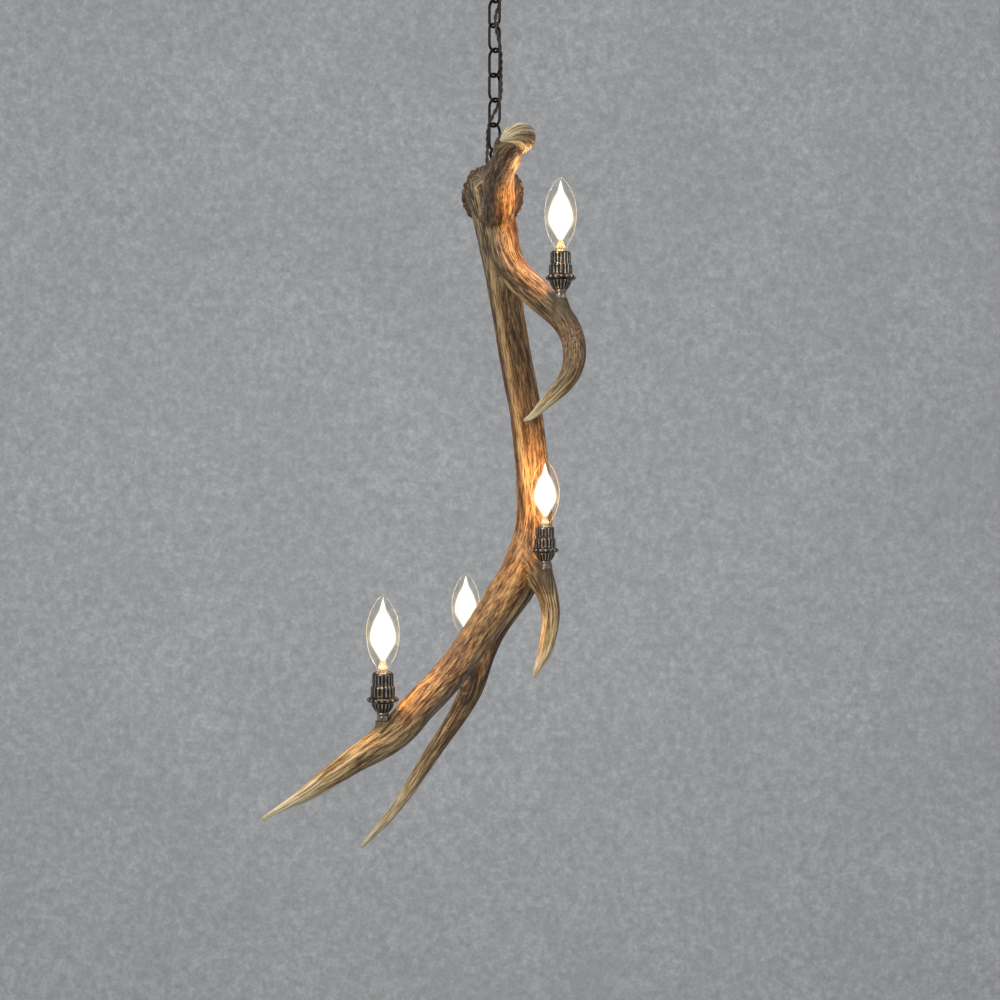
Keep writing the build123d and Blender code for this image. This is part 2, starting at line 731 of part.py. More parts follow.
with BuildPart() as socket_cores:
    for seat in seats:
        with BuildSketch(seat_plane(seat, -socket_nipple_depth)):
            with Locations((core_spread, 0), (-core_spread, 0)):
                RegularPolygon(core_radius, wire_sides, major_radius=False, rotation=flat_turn)
        extrude(amount=socket_nipple_depth + insulator_top - contact_thickness)
socket_cores.part.label = "socket_cores"
export_step(socket_cores.part, "parts/socket_cores.step")

# ---- bulbs -------------------------------------------------------------------------------------
for number, seat in enumerate(seats, start=1):
    with BuildPart() as bulb_glass:
        for inset, mode in ((0, Mode.ADD), (glass_wall, Mode.SUBTRACT)):
            with BuildSketch(seat_profile(seat)):
                with BuildLine():
                    Polyline(*glass_points(inset), close=True)
                make_face()
            revolve(axis=seat_axis(seat), mode=mode)
    bulb_glass.part.label = f"bulb_glass_{number}"
    export_step(bulb_glass.part, f"parts/bulb_glass_{number}.step")

    with BuildPart() as bulb_base:
        with BuildSketch(seat_profile(seat)):
            with BuildLine():
                Polyline(
                    (0, base_bottom), (base_radius - base_bevel, base_bottom),
                    (base_radius, base_bottom + base_bevel), (base_radius, glass_bottom),
                    (0, glass_bottom), close=True,
                )
            make_face()
        revolve(axis=seat_axis(seat))
    bulb_base.part.label = f"bulb_base_{number}"
    export_step(bulb_base.part, f"parts/bulb_base_{number}.step")

    with BuildPart() as bulb_contact:
        with BuildSketch(seat_profile(seat)):
            with BuildLine():
                Polyline(
                    (0, button_bottom), (button_radius, button_bottom), (button_radius, base_insulator_bottom),
                    (base_insulator_radius, base_bottom), (0, base_bottom), close=True,
                )
            make_face()
        revolve(axis=seat_axis(seat))
    bulb_contact.part.label = f"bulb_contact_{number}"
    export_step(bulb_contact.part, f"parts/bulb_contact_{number}.step")

    with BuildPart() as filaments:
        with Locations(seat_plane(seat, glass_bottom + glass_wall)):
            Cone(
                stem_glass_radius, stem_glass_top_radius, stem_glass_length,
                align=(Align.CENTER, Align.CENTER, Align.MIN),
            )
        stem_end = seat_plane(seat, glass_bottom + glass_wall + stem_glass_length - filament_sunk)
        outward = filament_top_spread - filament_foot_spread
        for index in range(filament_count):
            turn = radians((index + 0.5) * 360 / filament_count)
            foot = stem_end.from_local_coords(
                Vector(filament_foot_spread * cos(turn), filament_foot_spread * sin(turn), 0)
            )
            rise = Vector(outward * cos(turn), outward * sin(turn), filament_length)
            with BuildSketch(Plane(origin=foot, z_dir=rise.normalized())):
                RegularPolygon(filament_radius, filament_sides)
            extrude(amount=filament_length)
    filaments.part.label = f"bulb_filaments_{number}"
    export_step(filaments.part, f"parts/bulb_filaments_{number}.step")
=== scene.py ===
from collections import namedtuple
from math import atan2, cos, pi, radians, sin

import bmesh
import bpy
import numpy as np
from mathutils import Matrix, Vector, noise


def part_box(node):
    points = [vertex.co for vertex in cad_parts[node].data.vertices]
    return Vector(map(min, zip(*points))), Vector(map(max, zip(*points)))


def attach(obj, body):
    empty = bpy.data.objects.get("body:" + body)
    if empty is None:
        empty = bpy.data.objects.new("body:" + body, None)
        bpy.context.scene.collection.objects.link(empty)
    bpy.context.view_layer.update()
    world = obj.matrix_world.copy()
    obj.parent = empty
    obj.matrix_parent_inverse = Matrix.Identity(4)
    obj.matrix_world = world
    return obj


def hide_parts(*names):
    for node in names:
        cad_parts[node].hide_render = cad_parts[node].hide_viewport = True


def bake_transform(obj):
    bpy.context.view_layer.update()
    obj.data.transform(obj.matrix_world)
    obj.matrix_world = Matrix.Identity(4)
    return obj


# A single shed elk antler hung burr up on a short chain, with four lit candle bulbs.
# Metres, in the frame of the solids: the chain hangs on the Z axis from the ceiling at z = 0.

MM = 0.001
UP = Vector((0, 0, 1))
AXIS = Vector((0, 0, 0))

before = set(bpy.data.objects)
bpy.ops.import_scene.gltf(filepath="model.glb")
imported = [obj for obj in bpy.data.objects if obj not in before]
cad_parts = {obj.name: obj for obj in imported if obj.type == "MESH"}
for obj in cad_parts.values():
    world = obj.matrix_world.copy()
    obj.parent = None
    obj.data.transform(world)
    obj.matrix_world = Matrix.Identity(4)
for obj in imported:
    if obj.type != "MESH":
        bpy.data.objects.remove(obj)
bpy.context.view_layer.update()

# ---- sizes that the frame does not give ----
LINKS = 7
LINK_WIRE = 1.6 * MM
LINK_HALF_WIDTH = 8.4 * MM
LINK_TURN = radians(45)
LINK_ARC_STEPS = 24
RING_STEPS = 56
LOOP_WIRE = 2.2 * MM
LOOP_RADIUS = 10.2 * MM
EYE_WIRE = 1.6 * MM
EYE_RADIUS = 6.5 * MM
SHANK_RADIUS = 2.0 * MM
SHANK_TIP_RADIUS = 0.5 * MM
FLANGE_DROP = 3.2 * MM
KNURLS = 24
KNURL_DEPTH = 0.8 * MM
KNURLED_SHARE = 0.78
LEAD_STRAND = 1.22 * MM
LEAD_PITCH = 17 * MM
LEAD_SIDES = 10
WEAVE_SCALE = 2600
BULBS = 4
BULB_POWER = [0.8, 0.42, 0.7, 0.7]
GLASS_BELOW_MOUTH = 52.1 * MM
THREAD_PITCH = 2.54 * MM
THREAD_DEPTH = 0.28 * MM
FLUTES = 18
FLUTE_DEPTH = 0.6 * MM
RIB_DEPTH = 0.55 * MM
BEADS = 16

# the lead's route: down the ceiling loop, woven past each crossing of the chain, into the antler
LEAD_ROUTE = [
    (0, 0, -7.6), (0, 0, -42.2), (7.6, 0, -56.35), (7.6, 1.1, -84.75), (2.2, -2.4, -99.25),
    (0.4, -8.2, -113.75), (7.8, 0.5, -142.75), (7.4, 0, -171.75), (8.2, -0.2, -200.75),
    (-8.2, 0.4, -229.75), (-7.8, -1, -258.75), (-9, -5, -272), (-8, 4, -304),
]

# the branches' centre lines as (x, y, z, radius) in millimetres, each from its root to its tip
BEAM = [
    (-2, 12, -311, 25.5), (-1, -13, -336, 25), (3, -28, -367, 22.5), (7, -30, -397, 20.2),
    (12, -16, -427, 19.1), (20, 12, -473, 19), (28, 37, -514, 19.3), (38, 69, -564, 19.8),
    (45, 99, -615, 20.7), (49, 114, -667, 21.8), (46, 117, -718, 24.5), (31, 112, -762, 26.5),
    (12, 124, -803, 20), (-10, 133, -848, 15.5), (-29, 130, -904, 14.3), (-47, 135, -938, 12.2),
    (-81, 154, -991, 10.2), (-117, 178, -1049, 8.1), (-148, 197, -1091, 6.2), (-175, 212, -1122, 2.4),
]
BROW_TINE = [
    (1, -8, -344, 18), (4, -42, -343, 18.8), (5, -75, -334, 18), (5, -113, -327, 17),
    (7, -163, -320, 15.6), (14, -213, -316, 15), (21, -253, -313, 14.6), (28, -283, -314, 12.4),
    (20, -305, -318, 9.3), (13, -315, -323, 6), (8, -321, -328, 2.4),
]
UPPER_TINE = [
    (3, -36, -345, 19), (10, -44, -372, 17.6), (15, -49, -394, 17.5), (27, -55, -414, 17.2),
    (44, -77, -435, 16.8), (65, -103, -459, 14.8),
    (80, -115, -479, 13.7), (87, -125, -507, 12.5), (80, -133, -535, 11), (60, -138, -558, 7.9),
    (47, -143, -571, 5.2), (33, -148, -582, 2.2),
]
SMALL_TINE = [
    (44, 107, -739, 19), (55, 87, -759, 17.6), (64, 72, -781, 13.6), (68, 67, -803, 11.4),
    (66, 62, -827, 10.2), (61, 57, -849, 8.6), (53, 54, -867, 5.8), (48, 52, -879, 2.4),
]
FRONT_BRANCH = [
    (31, 107, -756, 22), (10, 67, -786, 22.6), (-12, 22, -816, 20.5), (-35, -33, -845, 18.8),
    (-59, -88, -871, 18.6), (-82, -138, -890, 18.2), (-108, -173, -914, 17.6), (-130, -198, -926, 14.9),
    (-165, -228, -946, 11.1), (-192, -248, -962, 7.4), (-225, -267, -979, 2.2),
]
BURR_CENTRE = Vector((-2, 15, -309)) * MM
BURR_FACING = Vector((0, 0.93, 0.36)).normalized()
BURR_RADIUS = 33.5 * MM
BURR_WIDTH = 7 * MM
BURR_THICKNESS = 10 * MM
# where the stray pearls begin to thin out, from the burr's middle, and how soon
STRAY_FROM = 34 * MM
STRAY_REACH = 60 * MM
# where the upper antler's left side gets grey-brown painted shade, and how soon it gets so
SHADED_SIDE = -6 * MM
SHADED_WIDTH = 20 * MM
SHADED_FOOT = -0.52
SHADED_HEIGHT = 0.16

# the moulded bosses under the sockets, in millimetres: the foot's place and radius, the power with which
# the boss leans to it, how far it lies inside the skin below its top, how far down it goes and how much
# filler shows on it
Boss = namedtuple("Boss", "foot foot_radius lean inside_by reach filler")
BOSSES = [
    Boss((76, -117, -474), 12.4, 1, 1, 9, 1), Boss((63, 68, -779), 12.2, 1, 1, 9, 1),
    Boss((-112, -173, -914), 15, 1, 1, 9, 1), Boss((-38, 128, -925), 6.4, 2, 0, 34, 0.25),
]
BOSS_TOP_RADIUS = 7.6 * MM
BOSS_LIP = 1.0 * MM
BOSS_SINK = 3.0 * MM
BOSS_ROWS = 24
BOSS_STEPS = 48
# how far the filler on a boss goes from its axis and above and below its seat, and how it fades in
FILLER_RADIUS = 13 * MM
FILLER_TOP = 3 * MM
FILLER_DROP = 30 * MM
FILLER_FADE = 14 * MM

# the pale rubbed edges: on which branch, which way they face, and from where to where in millimetres
RUBBED_EDGES = [
    ("beam", (-0.52, -0.85, 0.0), 88, 420), ("upper", (-0.7, -0.3, -0.65), 62, 165),
    ("front", (0.91, -0.25, -0.31), 6, 130), ("small", (-0.88, -0.42, -0.22), 22, 95),
]
# how near its direction the skin has to face, and over what difference and lengths the edge fades
RUBBED_EDGE = 0.955
RUBBED_FADE = 0.03
RUBBED_START = 14 * MM
RUBBED_END = 50 * MM
# over what length before the tip the painted shade on the underside fades
SHADE_FADE = 200 * MM
# how far the pale tip reaches up each branch, in millimetres
TIP_REACH = {"beam": 300, "brow": 62, "upper": 95, "small": 150, "front": 215}
# which of the three grain layers a branch lies in: branches of one layer never meet
LAYERS = 3
GRAIN_LAYER = {"beam": 0, "brow": 1, "front": 1, "upper": 2, "small": 2}
GRAIN_CONTRAST = 1.6
GRAIN_RADIUS = 20 * MM
ALONG_SHARE = 0.085
# how wide the skin of two branches, and their grains, run into each other
SKIN_BLEND = 4.5 * MM
GRAIN_BLEND = 3.0 * MM
# the middle and the reach of the mottled patch, from the upper tine's tip, and of the painted pool of bulb
# light on the beam, from the beam's root
MOTTLE_PLACE = 108 * MM
MOTTLE_REACH = 30 * MM
BULB_GLOW_PLACE = 385 * MM
BULB_GLOW_REACH = 105 * MM
# how far the features of the skin stand out or lie in, in millimetres
GROOVE_DEPTH = 0.75
SKIN_INSET = 0.2
RUBBED_HEIGHT = 0.5
SWELL_HEIGHT = 0.5
PEARL_HEIGHT = 1.8
STRAY_PEARL_HEIGHT = 0.45
# how often they come, in noise cells to the metre
FINE_FURROWS = 290
WIDE_FURROWS = 130
FURROW_DRIFT = 70
SWELLS = 34
PEARLS = 105
PEARL_DETAIL = 240
# how much each kind of furrow adds to the depth, and how steep its walls are
WIDE_SHARE = 0.9
WIDE_STEEPNESS = 8
FINE_SHARE = 0.54
FINE_STEEPNESS = 7
FINE_SHIFT = Vector((5.2, 1.3, 0))
DRIFT_SHARE = 0.35
SKIN_VOXEL = 1.5 * MM

# the antler's colours, as the stops of ramps that run from its dark grooves to its pale ridges
BROWN = [
    (0.34, (0.02, 0.008, 0.002)), (0.44, (0.08, 0.032, 0.008)), (0.55, (0.195, 0.086, 0.022)),
    (0.67, (0.5, 0.295, 0.105)),
]
# a lit copy of the brown, for painted light
SUNLIT_BROWN = [
    (0.34, (0.075, 0.028, 0.006)), (0.45, (0.255, 0.112, 0.022)), (0.56, (0.45, 0.23, 0.055)),
    (0.68, (0.72, 0.47, 0.17)),
]
# the first is grey-brown, for a grey tone in patches and for painted shade on the upper left side
GREY_BROWN = [(0.34, (0.028, 0.019, 0.01)), (0.5, (0.085, 0.058, 0.03)), (0.68, (0.2, 0.148, 0.082))]
TAN = [(0.34, (0.15, 0.08, 0.024)), (0.47, (0.45, 0.3, 0.118)), (0.62, (0.76, 0.58, 0.3))]
IVORY = [(0.32, (0.42, 0.3, 0.14)), (0.45, (0.72, 0.59, 0.34)), (0.7, (0.93, 0.84, 0.6))]
MOTTLED = [(0.4, (0.03, 0.008, 0.003)), (0.5, (0.14, 0.05, 0.016)), (0.62, (0.38, 0.235, 0.11))]
CRUST = [(0.38, (0.02, 0.01, 0.006)), (0.54, (0.085, 0.04, 0.02)), (0.68, (0.36, 0.26, 0.17))]
FILLER = [(0.3, (0.045, 0.033, 0.02)), (0.55, (0.105, 0.079, 0.048)), (0.75, (0.2, 0.156, 0.098))]


# ---- materials ----
class Nodes:
    """A short way to write a node tree: each call adds a node, sets its inputs and returns it."""

    def __init__(self, name):
        self.material = bpy.data.materials.new(name)
        self.material.use_nodes = True
        self.tree = self.material.node_tree
        self.tree.nodes.clear()
        self.output = self.tree.nodes.new("ShaderNodeOutputMaterial")

    def add(self, kind, settings=None, **inputs):
        node = self.tree.nodes.new("ShaderNode" + kind)
        for key, value in (settings or {}).items():
            setattr(node, key, value)
        for key, value in inputs.items():
            self.set(node, key.replace("_", " "), value)
        return node

    def set(self, node, key, value):
        if isinstance(value, bpy.types.NodeSocket):
            self.tree.links.new(value, node.inputs[key])
        else:
            node.inputs[key].default_value = value

    def coords(self):
        return self.add("TexCoord").outputs["Object"]

    def noise(self, vector, scale, detail=4.0, roughness=0.5):
        node = self.add("TexNoise", Vector=vector, Scale=scale, Detail=detail, Roughness=roughness)
        return node.outputs["Fac"]

    def ramp(self, factor, stops):
        node = self.add("ValToRGB", Fac=factor)
        ramp = node.color_ramp
        while len(ramp.elements) < len(stops):
            ramp.elements.new(0.5)
        for element, (position, color) in zip(ramp.elements, stops):
            element.position = position
            element.color = (*color, 1.0)
        return node.outputs["Color"]

    def range(self, value, low, high, to_low=0.0, to_high=1.0):
        node = self.add("MapRange")
        for index, entry in enumerate((value, low, high, to_low, to_high)):
            self.set(node, index, entry)
        return node.outputs[0]

    def mix(self, factor, a, b):
        node = self.add("Mix", {"data_type": "RGBA", "blend_type": "MIX"})
        for index, value in ((0, factor), (6, a), (7, b)):
            if isinstance(value, tuple):
                value = (*value, 1.0)
            self.set(node, index, value)
        return node.outputs[2]

    def math(self, operation, a, b):
        node = self.add("Math", {"operation": operation})
        self.set(node, 0, a)
        self.set(node, 1, b)
        return node.outputs[0]

    def times(self, a, b):
        return self.math("MULTIPLY", a, b)

    def plus(self, a, b):
        return self.math("ADD", a, b)

    def stretch(self, vector, scale):
        return self.add("Mapping", Vector=vector, Scale=scale).outputs[0]

    def attribute(self, name, output="Fac"):
        return self.add("Attribute", {"attribute_name": name}).outputs[output]

    def bump(self, height, strength, distance, normal=None):
        node = self.add("Bump", Height=height, Strength=strength, Distance=distance)
        if normal is not None:
            self.set(node, "Normal", normal)
        return node.outputs[0]

    def finish(self, **inputs):
        shader = self.add("BsdfPrincipled", **inputs)
        self.tree.links.new(shader.outputs[0], self.output.inputs[0])
        return self.material


def worn_metal(name, dark, bright, roughness, grime):
    """Patinated metal: the dark finish, bright on its edges and bars from wear and painted highlights,
    with faint mottling.
    """
    n = Nodes(name)
    place = n.coords()
    # wear and painted highlight: brighter on sharp edges and where a piece is marked
    edge = n.range(n.add("NewGeometry").outputs["Pointiness"], 0.51, 0.6)
    edge = n.math("MAXIMUM", edge, n.attribute("wear_and_highlight"))
    mottle = n.noise(place, 220.0, 5.0, 0.6)
    wear_and_highlight = n.times(edge, n.range(mottle, 0.35, 0.62, 0.35, 1.0))
    base = n.mix(n.range(mottle, 0.35, 0.7), dark, grime)
    return n.finish(
        Base_Color=n.mix(wear_and_highlight, base, bright),
        Metallic=1.0,
        Roughness=n.range(mottle, 0.3, 0.75, roughness - 0.08, roughness + 0.14),
        Normal=n.bump(n.noise(place, 1980.0, 2.0), 0.08, 0.0003),
    )


def plastic(name, color, shade, roughness):
    """A moulded or pressed material with a faint grain between two shades."""
    n = Nodes(name)
    grain = n.noise(n.coords(), 300.0, 3.0)
    return n.finish(
        Base_Color=n.mix(n.range(grain, 0.35, 0.65), color, shade),
        Roughness=n.range(grain, 0.3, 0.7, roughness - 0.05, roughness + 0.08),
        Normal=n.bump(grain, 0.06, 0.0003),
    )


def woven_sleeve():
    """The lead's dark twisted yarn: a fine diagonal weave on each strand."""
    n = Nodes("lead_weave")
    around = n.attribute("strand", "Vector")
    bands = {"wave_type": "BANDS", "bands_direction": "DIAGONAL"}
    threads = n.add("TexWave", bands, Vector=around, Scale=1.0, Distortion=0.4, Detail=2.0).outputs["Fac"]
    fuzz = n.noise(n.coords(), 900.0, 3.0)
    color = n.mix(threads, (0.006, 0.005, 0.0045), (0.035, 0.028, 0.022))
    color = n.mix(n.range(fuzz, 0.5, 0.75, 0.0, 0.4), color, (0.07, 0.055, 0.04))
    return n.finish(
        Base_Color=color, Roughness=0.82, Sheen_Weight=0.25, Normal=n.bump(threads, 0.5, 0.0003)
    )


def grain_noise(n):
    """Gives a function for noises that are drawn out along the branches. Where two branches meet, their
    noises cross over by the branches' shares, and the gain keeps the contrast of their mixture."""
    grains = [n.attribute(f"grain_{layer}", "Vector") for layer in range(LAYERS)]
    shares = n.add("SeparateXYZ", Vector=n.attribute("shares", "Vector"))
    gain = n.times(n.attribute("gain"), GRAIN_CONTRAST)

    def along(scale, detail, roughness):
        total = 0.0
        for layer, grain in enumerate(grains):
            value = n.noise(n.stretch(grain, scale), 1.0, detail, roughness)
            part = n.times(n.math("SUBTRACT", value, 0.5), shares.outputs[layer])
            total = n.plus(total, part)
        return n.plus(n.times(total, gain), 0.5)

    return along


def antler_skin():
    """Weathered antler: brown with long dark grooves and pale ridges, tan towards its ivory tips,
    grey-brown near the burr and on the moulded bosses, with dark pits and fine pores. Painted light
    warms the front branch's top and the beam beside a bulb, and painted shade darkens the undersides
    and the upper antler's left side."""
    n = Nodes("antler_skin")
    place = n.coords()
    along = grain_noise(n)
    broad = along((60, 60, 60), 4.0, 0.55)
    streak = along((240, 240, 300), 6.0, 0.66)
    dash = along((560, 560, 620), 3.0, 0.6)
    hair = along((1100, 1100, 900), 3.0, 0.6)
    cloud = n.noise(place, 26.0, 5.0, 0.6)
    speck = n.noise(place, 380.0, 4.0, 0.7)
    groove = n.attribute("groove")
    burr = n.attribute("burr")

    # the branches: brown, warmer with painted light on the front branch's top and the beam by a bulb,
    # grey-brown in patches and as painted shade on the upper antler's left side
    color = n.mix(n.range(broad, 0.38, 0.66, 0.0, 0.65), n.ramp(streak, BROWN), (0.07, 0.028, 0.009))
    sunlit = n.range(n.attribute("sunlit"), 0.0, 1.0, 0.0, 0.85)
    color = n.mix(sunlit, color, n.ramp(streak, SUNLIT_BROWN))
    cool = n.times(n.attribute("cool"), n.range(cloud, 0.25, 0.5))
    color = n.mix(cool, color, n.ramp(streak, GREY_BROWN))

    # the tips: tan and then ivory, with an uneven edge
    uneven = n.plus(n.attribute("tip"), n.range(cloud, 0.3, 0.7, -0.14, 0.14))
    uneven = n.plus(uneven, n.range(streak, 0.3, 0.7, -0.1, 0.1))
    color = n.mix(n.range(uneven, 0.22, 0.6), color, n.ramp(streak, TAN))
    color = n.mix(n.range(uneven, 0.62, 0.95), color, n.ramp(streak, IVORY))
    mottle = n.times(n.attribute("mottle"), n.range(cloud, 0.2, 0.5, 0.5, 0.95))
    color = n.mix(mottle, color, n.ramp(speck, MOTTLED))

    # the short marks: dark and pale dashes, flecks, dark grooves and pale ridges
    dark_dash = n.times(n.range(dash, 0.46, 0.37), n.range(uneven, 0.9, 0.3, 0.14, 0.8))
    color = n.mix(dark_dash, color, (0.018, 0.007, 0.003))
    pale_dash = n.times(n.range(dash, 0.57, 0.66), n.range(broad, 0.35, 0.6))
    color = n.mix(n.times(pale_dash, 0.6), color, (0.56, 0.4, 0.2))
    fleck = n.times(n.range(hair, 0.44, 0.36), n.range(uneven, 0.9, 0.3, 0.1, 0.55))
    color = n.mix(fleck, color, (0.026, 0.011, 0.004))
    color = n.mix(n.range(groove, 0.12, 0.85, 0.0, 0.85), color, (0.022, 0.009, 0.004))
    ridge = n.times(n.range(groove, -0.05, -0.5), n.range(hair, 0.4, 0.62))
    color = n.mix(n.times(ridge, 0.5), color, (0.55, 0.39, 0.2))

    # the painted shade on the undersides, the rubbed edges and the pits
    color = n.mix(n.times(n.attribute("shade"), 0.62), color, (0.03, 0.014, 0.006))
    worn = n.times(n.attribute("wear_and_highlight"), n.range(dash, 0.34, 0.56, 0.15, 0.9))
    color = n.mix(worn, color, (0.5, 0.37, 0.185))
    pits = n.times(n.range(speck, 0.64, 0.71), n.range(broad, 0.45, 0.6))
    color = n.mix(n.times(pits, 0.85), color, (0.03, 0.016, 0.008))

    # the burr's crust and the bosses' filler
    crust = n.ramp(n.noise(place, 260.0, 4.0, 0.65), CRUST)
    color = n.mix(n.times(burr, 0.9), color, crust)
    filler = n.ramp(n.noise(place, 95.0, 5.0, 0.6), FILLER)
    color = n.mix(n.attribute("putty"), color, filler)

    rough = n.range(streak, 0.3, 0.7, 0.62, 0.42)
    rough = n.plus(rough, n.times(burr, 0.2))
    normal = n.bump(streak, 0.6, 0.0014)
    normal = n.bump(dash, 0.6, 0.0008, normal)
    normal = n.bump(hair, 0.4, 0.0004, normal)
    return n.finish(Base_Color=color, Roughness=rough, Specular_IOR_Level=0.45, Normal=normal)


def clear_glass():
    """Thin clear glass, seen mostly at its rim, where the filaments' light runs in it."""
    n = Nodes("bulb_glass")
    facing = n.add("LayerWeight", Blend=0.35).outputs["Facing"]
    edge = n.math("POWER", n.range(facing, 0.3, 0.92), 1.8)
    return n.finish(
        Base_Color=(0.98, 0.96, 0.9, 1.0),
        Roughness=0.03,
        IOR=1.18,
        Transmission_Weight=1.0,
        Alpha=n.range(facing, 0.3, 0.95, 0.1, 0.95),
        Emission_Color=n.mix(edge, (0.055, 0.034, 0.012), (1.0, 0.8, 0.42)),
        Emission_Strength=1.05,
    )


def glowing_strip():
    """The phosphor of a filament, alight."""
    n = Nodes("filament_phosphor")
    return n.finish(
        Base_Color=(0.9, 0.7, 0.4, 1.0), Roughness=0.5, Emission_Color=(1.0, 0.66, 0.28, 1.0),
        Emission_Strength=9.0,
    )


def halo():
    """The filaments' blinding light: white at its heart, amber where it thins out."""
    n = Nodes("bulb_light")
    facing = n.add("LayerWeight", Blend=0.5).outputs["Facing"]
    core = n.range(facing, 1.0, 0.22)
    color = n.ramp(core, [(0.0, (1.0, 0.62, 0.22)), (0.35, (1.0, 0.84, 0.5)), (0.8, (1.0, 0.97, 0.88))])
    return n.finish(
        Base_Color=(0.0, 0.0, 0.0, 1.0),
        Roughness=1.0,
        Specular_IOR_Level=0.0,
        Alpha=n.times(n.math("POWER", core, 1.15), 0.97),
        Emission_Color=color,
        Emission_Strength=1.45,
    )


def painted_wall():
    """A mottled grey wall."""
    n = Nodes("backdrop")
    plaster = n.noise(n.coords(), 42.0, 8.0, 0.78)
    drift = n.noise(n.coords(), 2.2, 3.0, 0.5)
    paint = n.ramp(plaster, [
        (0.3, (0.42, 0.43, 0.44)), (0.52, (0.6, 0.605, 0.61)), (0.72, (0.84, 0.845, 0.85)),
    ])
    paint = n.mix(n.range(drift, 0.35, 0.7, 0.0, 0.3), paint, (0.45, 0.46, 0.48))
    return n.finish(Base_Color=paint, Roughness=0.95, Specular_IOR_Level=0.1)


DARK_BRONZE = worn_metal(
    "dark_bronze", (0.011, 0.009, 0.008), (0.1, 0.078, 0.058), 0.4, (0.005, 0.004, 0.004)
)
AGED_BRASS = worn_metal("aged_brass", (0.05, 0.04, 0.031), (0.62, 0.54, 0.43), 0.24, (0.022, 0.017, 0.013))
ZINC = worn_metal("zinc_steel", (0.42, 0.42, 0.41), (0.7, 0.7, 0.68), 0.38, (0.3, 0.3, 0.29))
BRIGHT_BRASS = worn_metal("bright_brass", (0.62, 0.43, 0.18), (0.85, 0.66, 0.34), 0.28, (0.45, 0.3, 0.12))
NICKEL = worn_metal("plated_nickel", (0.52, 0.49, 0.44), (0.8, 0.77, 0.7), 0.26, (0.36, 0.33, 0.28))
CONNECTOR = plastic("connector_plastic", (0.55, 0.2, 0.045), (0.42, 0.14, 0.03), 0.42)
INSULATION = plastic("core_insulation", (0.02, 0.02, 0.022), (0.045, 0.045, 0.046), 0.5)
PHENOLIC = plastic("phenolic", (0.02, 0.016, 0.013), (0.035, 0.028, 0.022), 0.28)
BOARD = plastic("liner_board", (0.21, 0.16, 0.105), (0.15, 0.11, 0.07), 0.85)
STEM_GLASS = plastic("stem_glass", (0.46, 0.43, 0.36), (0.36, 0.33, 0.27), 0.16)
WEAVE = woven_sleeve()
ANTLER_SKIN = antler_skin()
GLASS = clear_glass()
FILAMENT = glowing_strip()
HALO = halo()
WALL_PAINT = painted_wall()


# ---- meshes ----
def place_object(name, data):
    thing = bpy.data.objects.new(name, data)
    bpy.context.scene.collection.objects.link(thing)
    return thing


def mesh_object(name, vertices, faces, material):
    """A mesh that is shaded smooth."""
    mesh = bpy.data.meshes.new(name)
    mesh.from_pydata([tuple(v) for v in vertices], [], faces)
    mesh.materials.append(material)
    mesh.shade_smooth()
    mesh.update()
    return place_object(name, mesh)


def sharpen(thing, angle):
    """Keeps creases sharper than an angle in degrees, on a mesh that is otherwise shaded smooth."""
    mesh = bmesh.new()
    mesh.from_mesh(thing.data)
    bmesh.ops.recalc_face_normals(mesh, faces=mesh.faces)
    limit = radians(angle)
    for edge in mesh.edges:
        edge.smooth = not (len(edge.link_faces) == 2 and edge.calc_face_angle(0) > limit)
    mesh.to_mesh(thing.data)
    mesh.free()
    return thing


def add_layer(mesh, name, values):
    """Gives each vertex a number or a vector, for the materials to read."""
    values = np.asarray(values, np.float32)
    kind, field = ("FLOAT", "value") if values.ndim == 1 else ("FLOAT_VECTOR", "vector")
    mesh.attributes.new(name, kind, "POINT").data.foreach_set(field, values.ravel())


def circle(centre, side, up, radius, steps, turn=0.0):
    """Points round a circle whose plane two directions give."""
    angles = [2 * pi * k / steps + turn for k in range(steps)]
    return [centre + (side * cos(a) + up * sin(a)) * radius for a in angles]


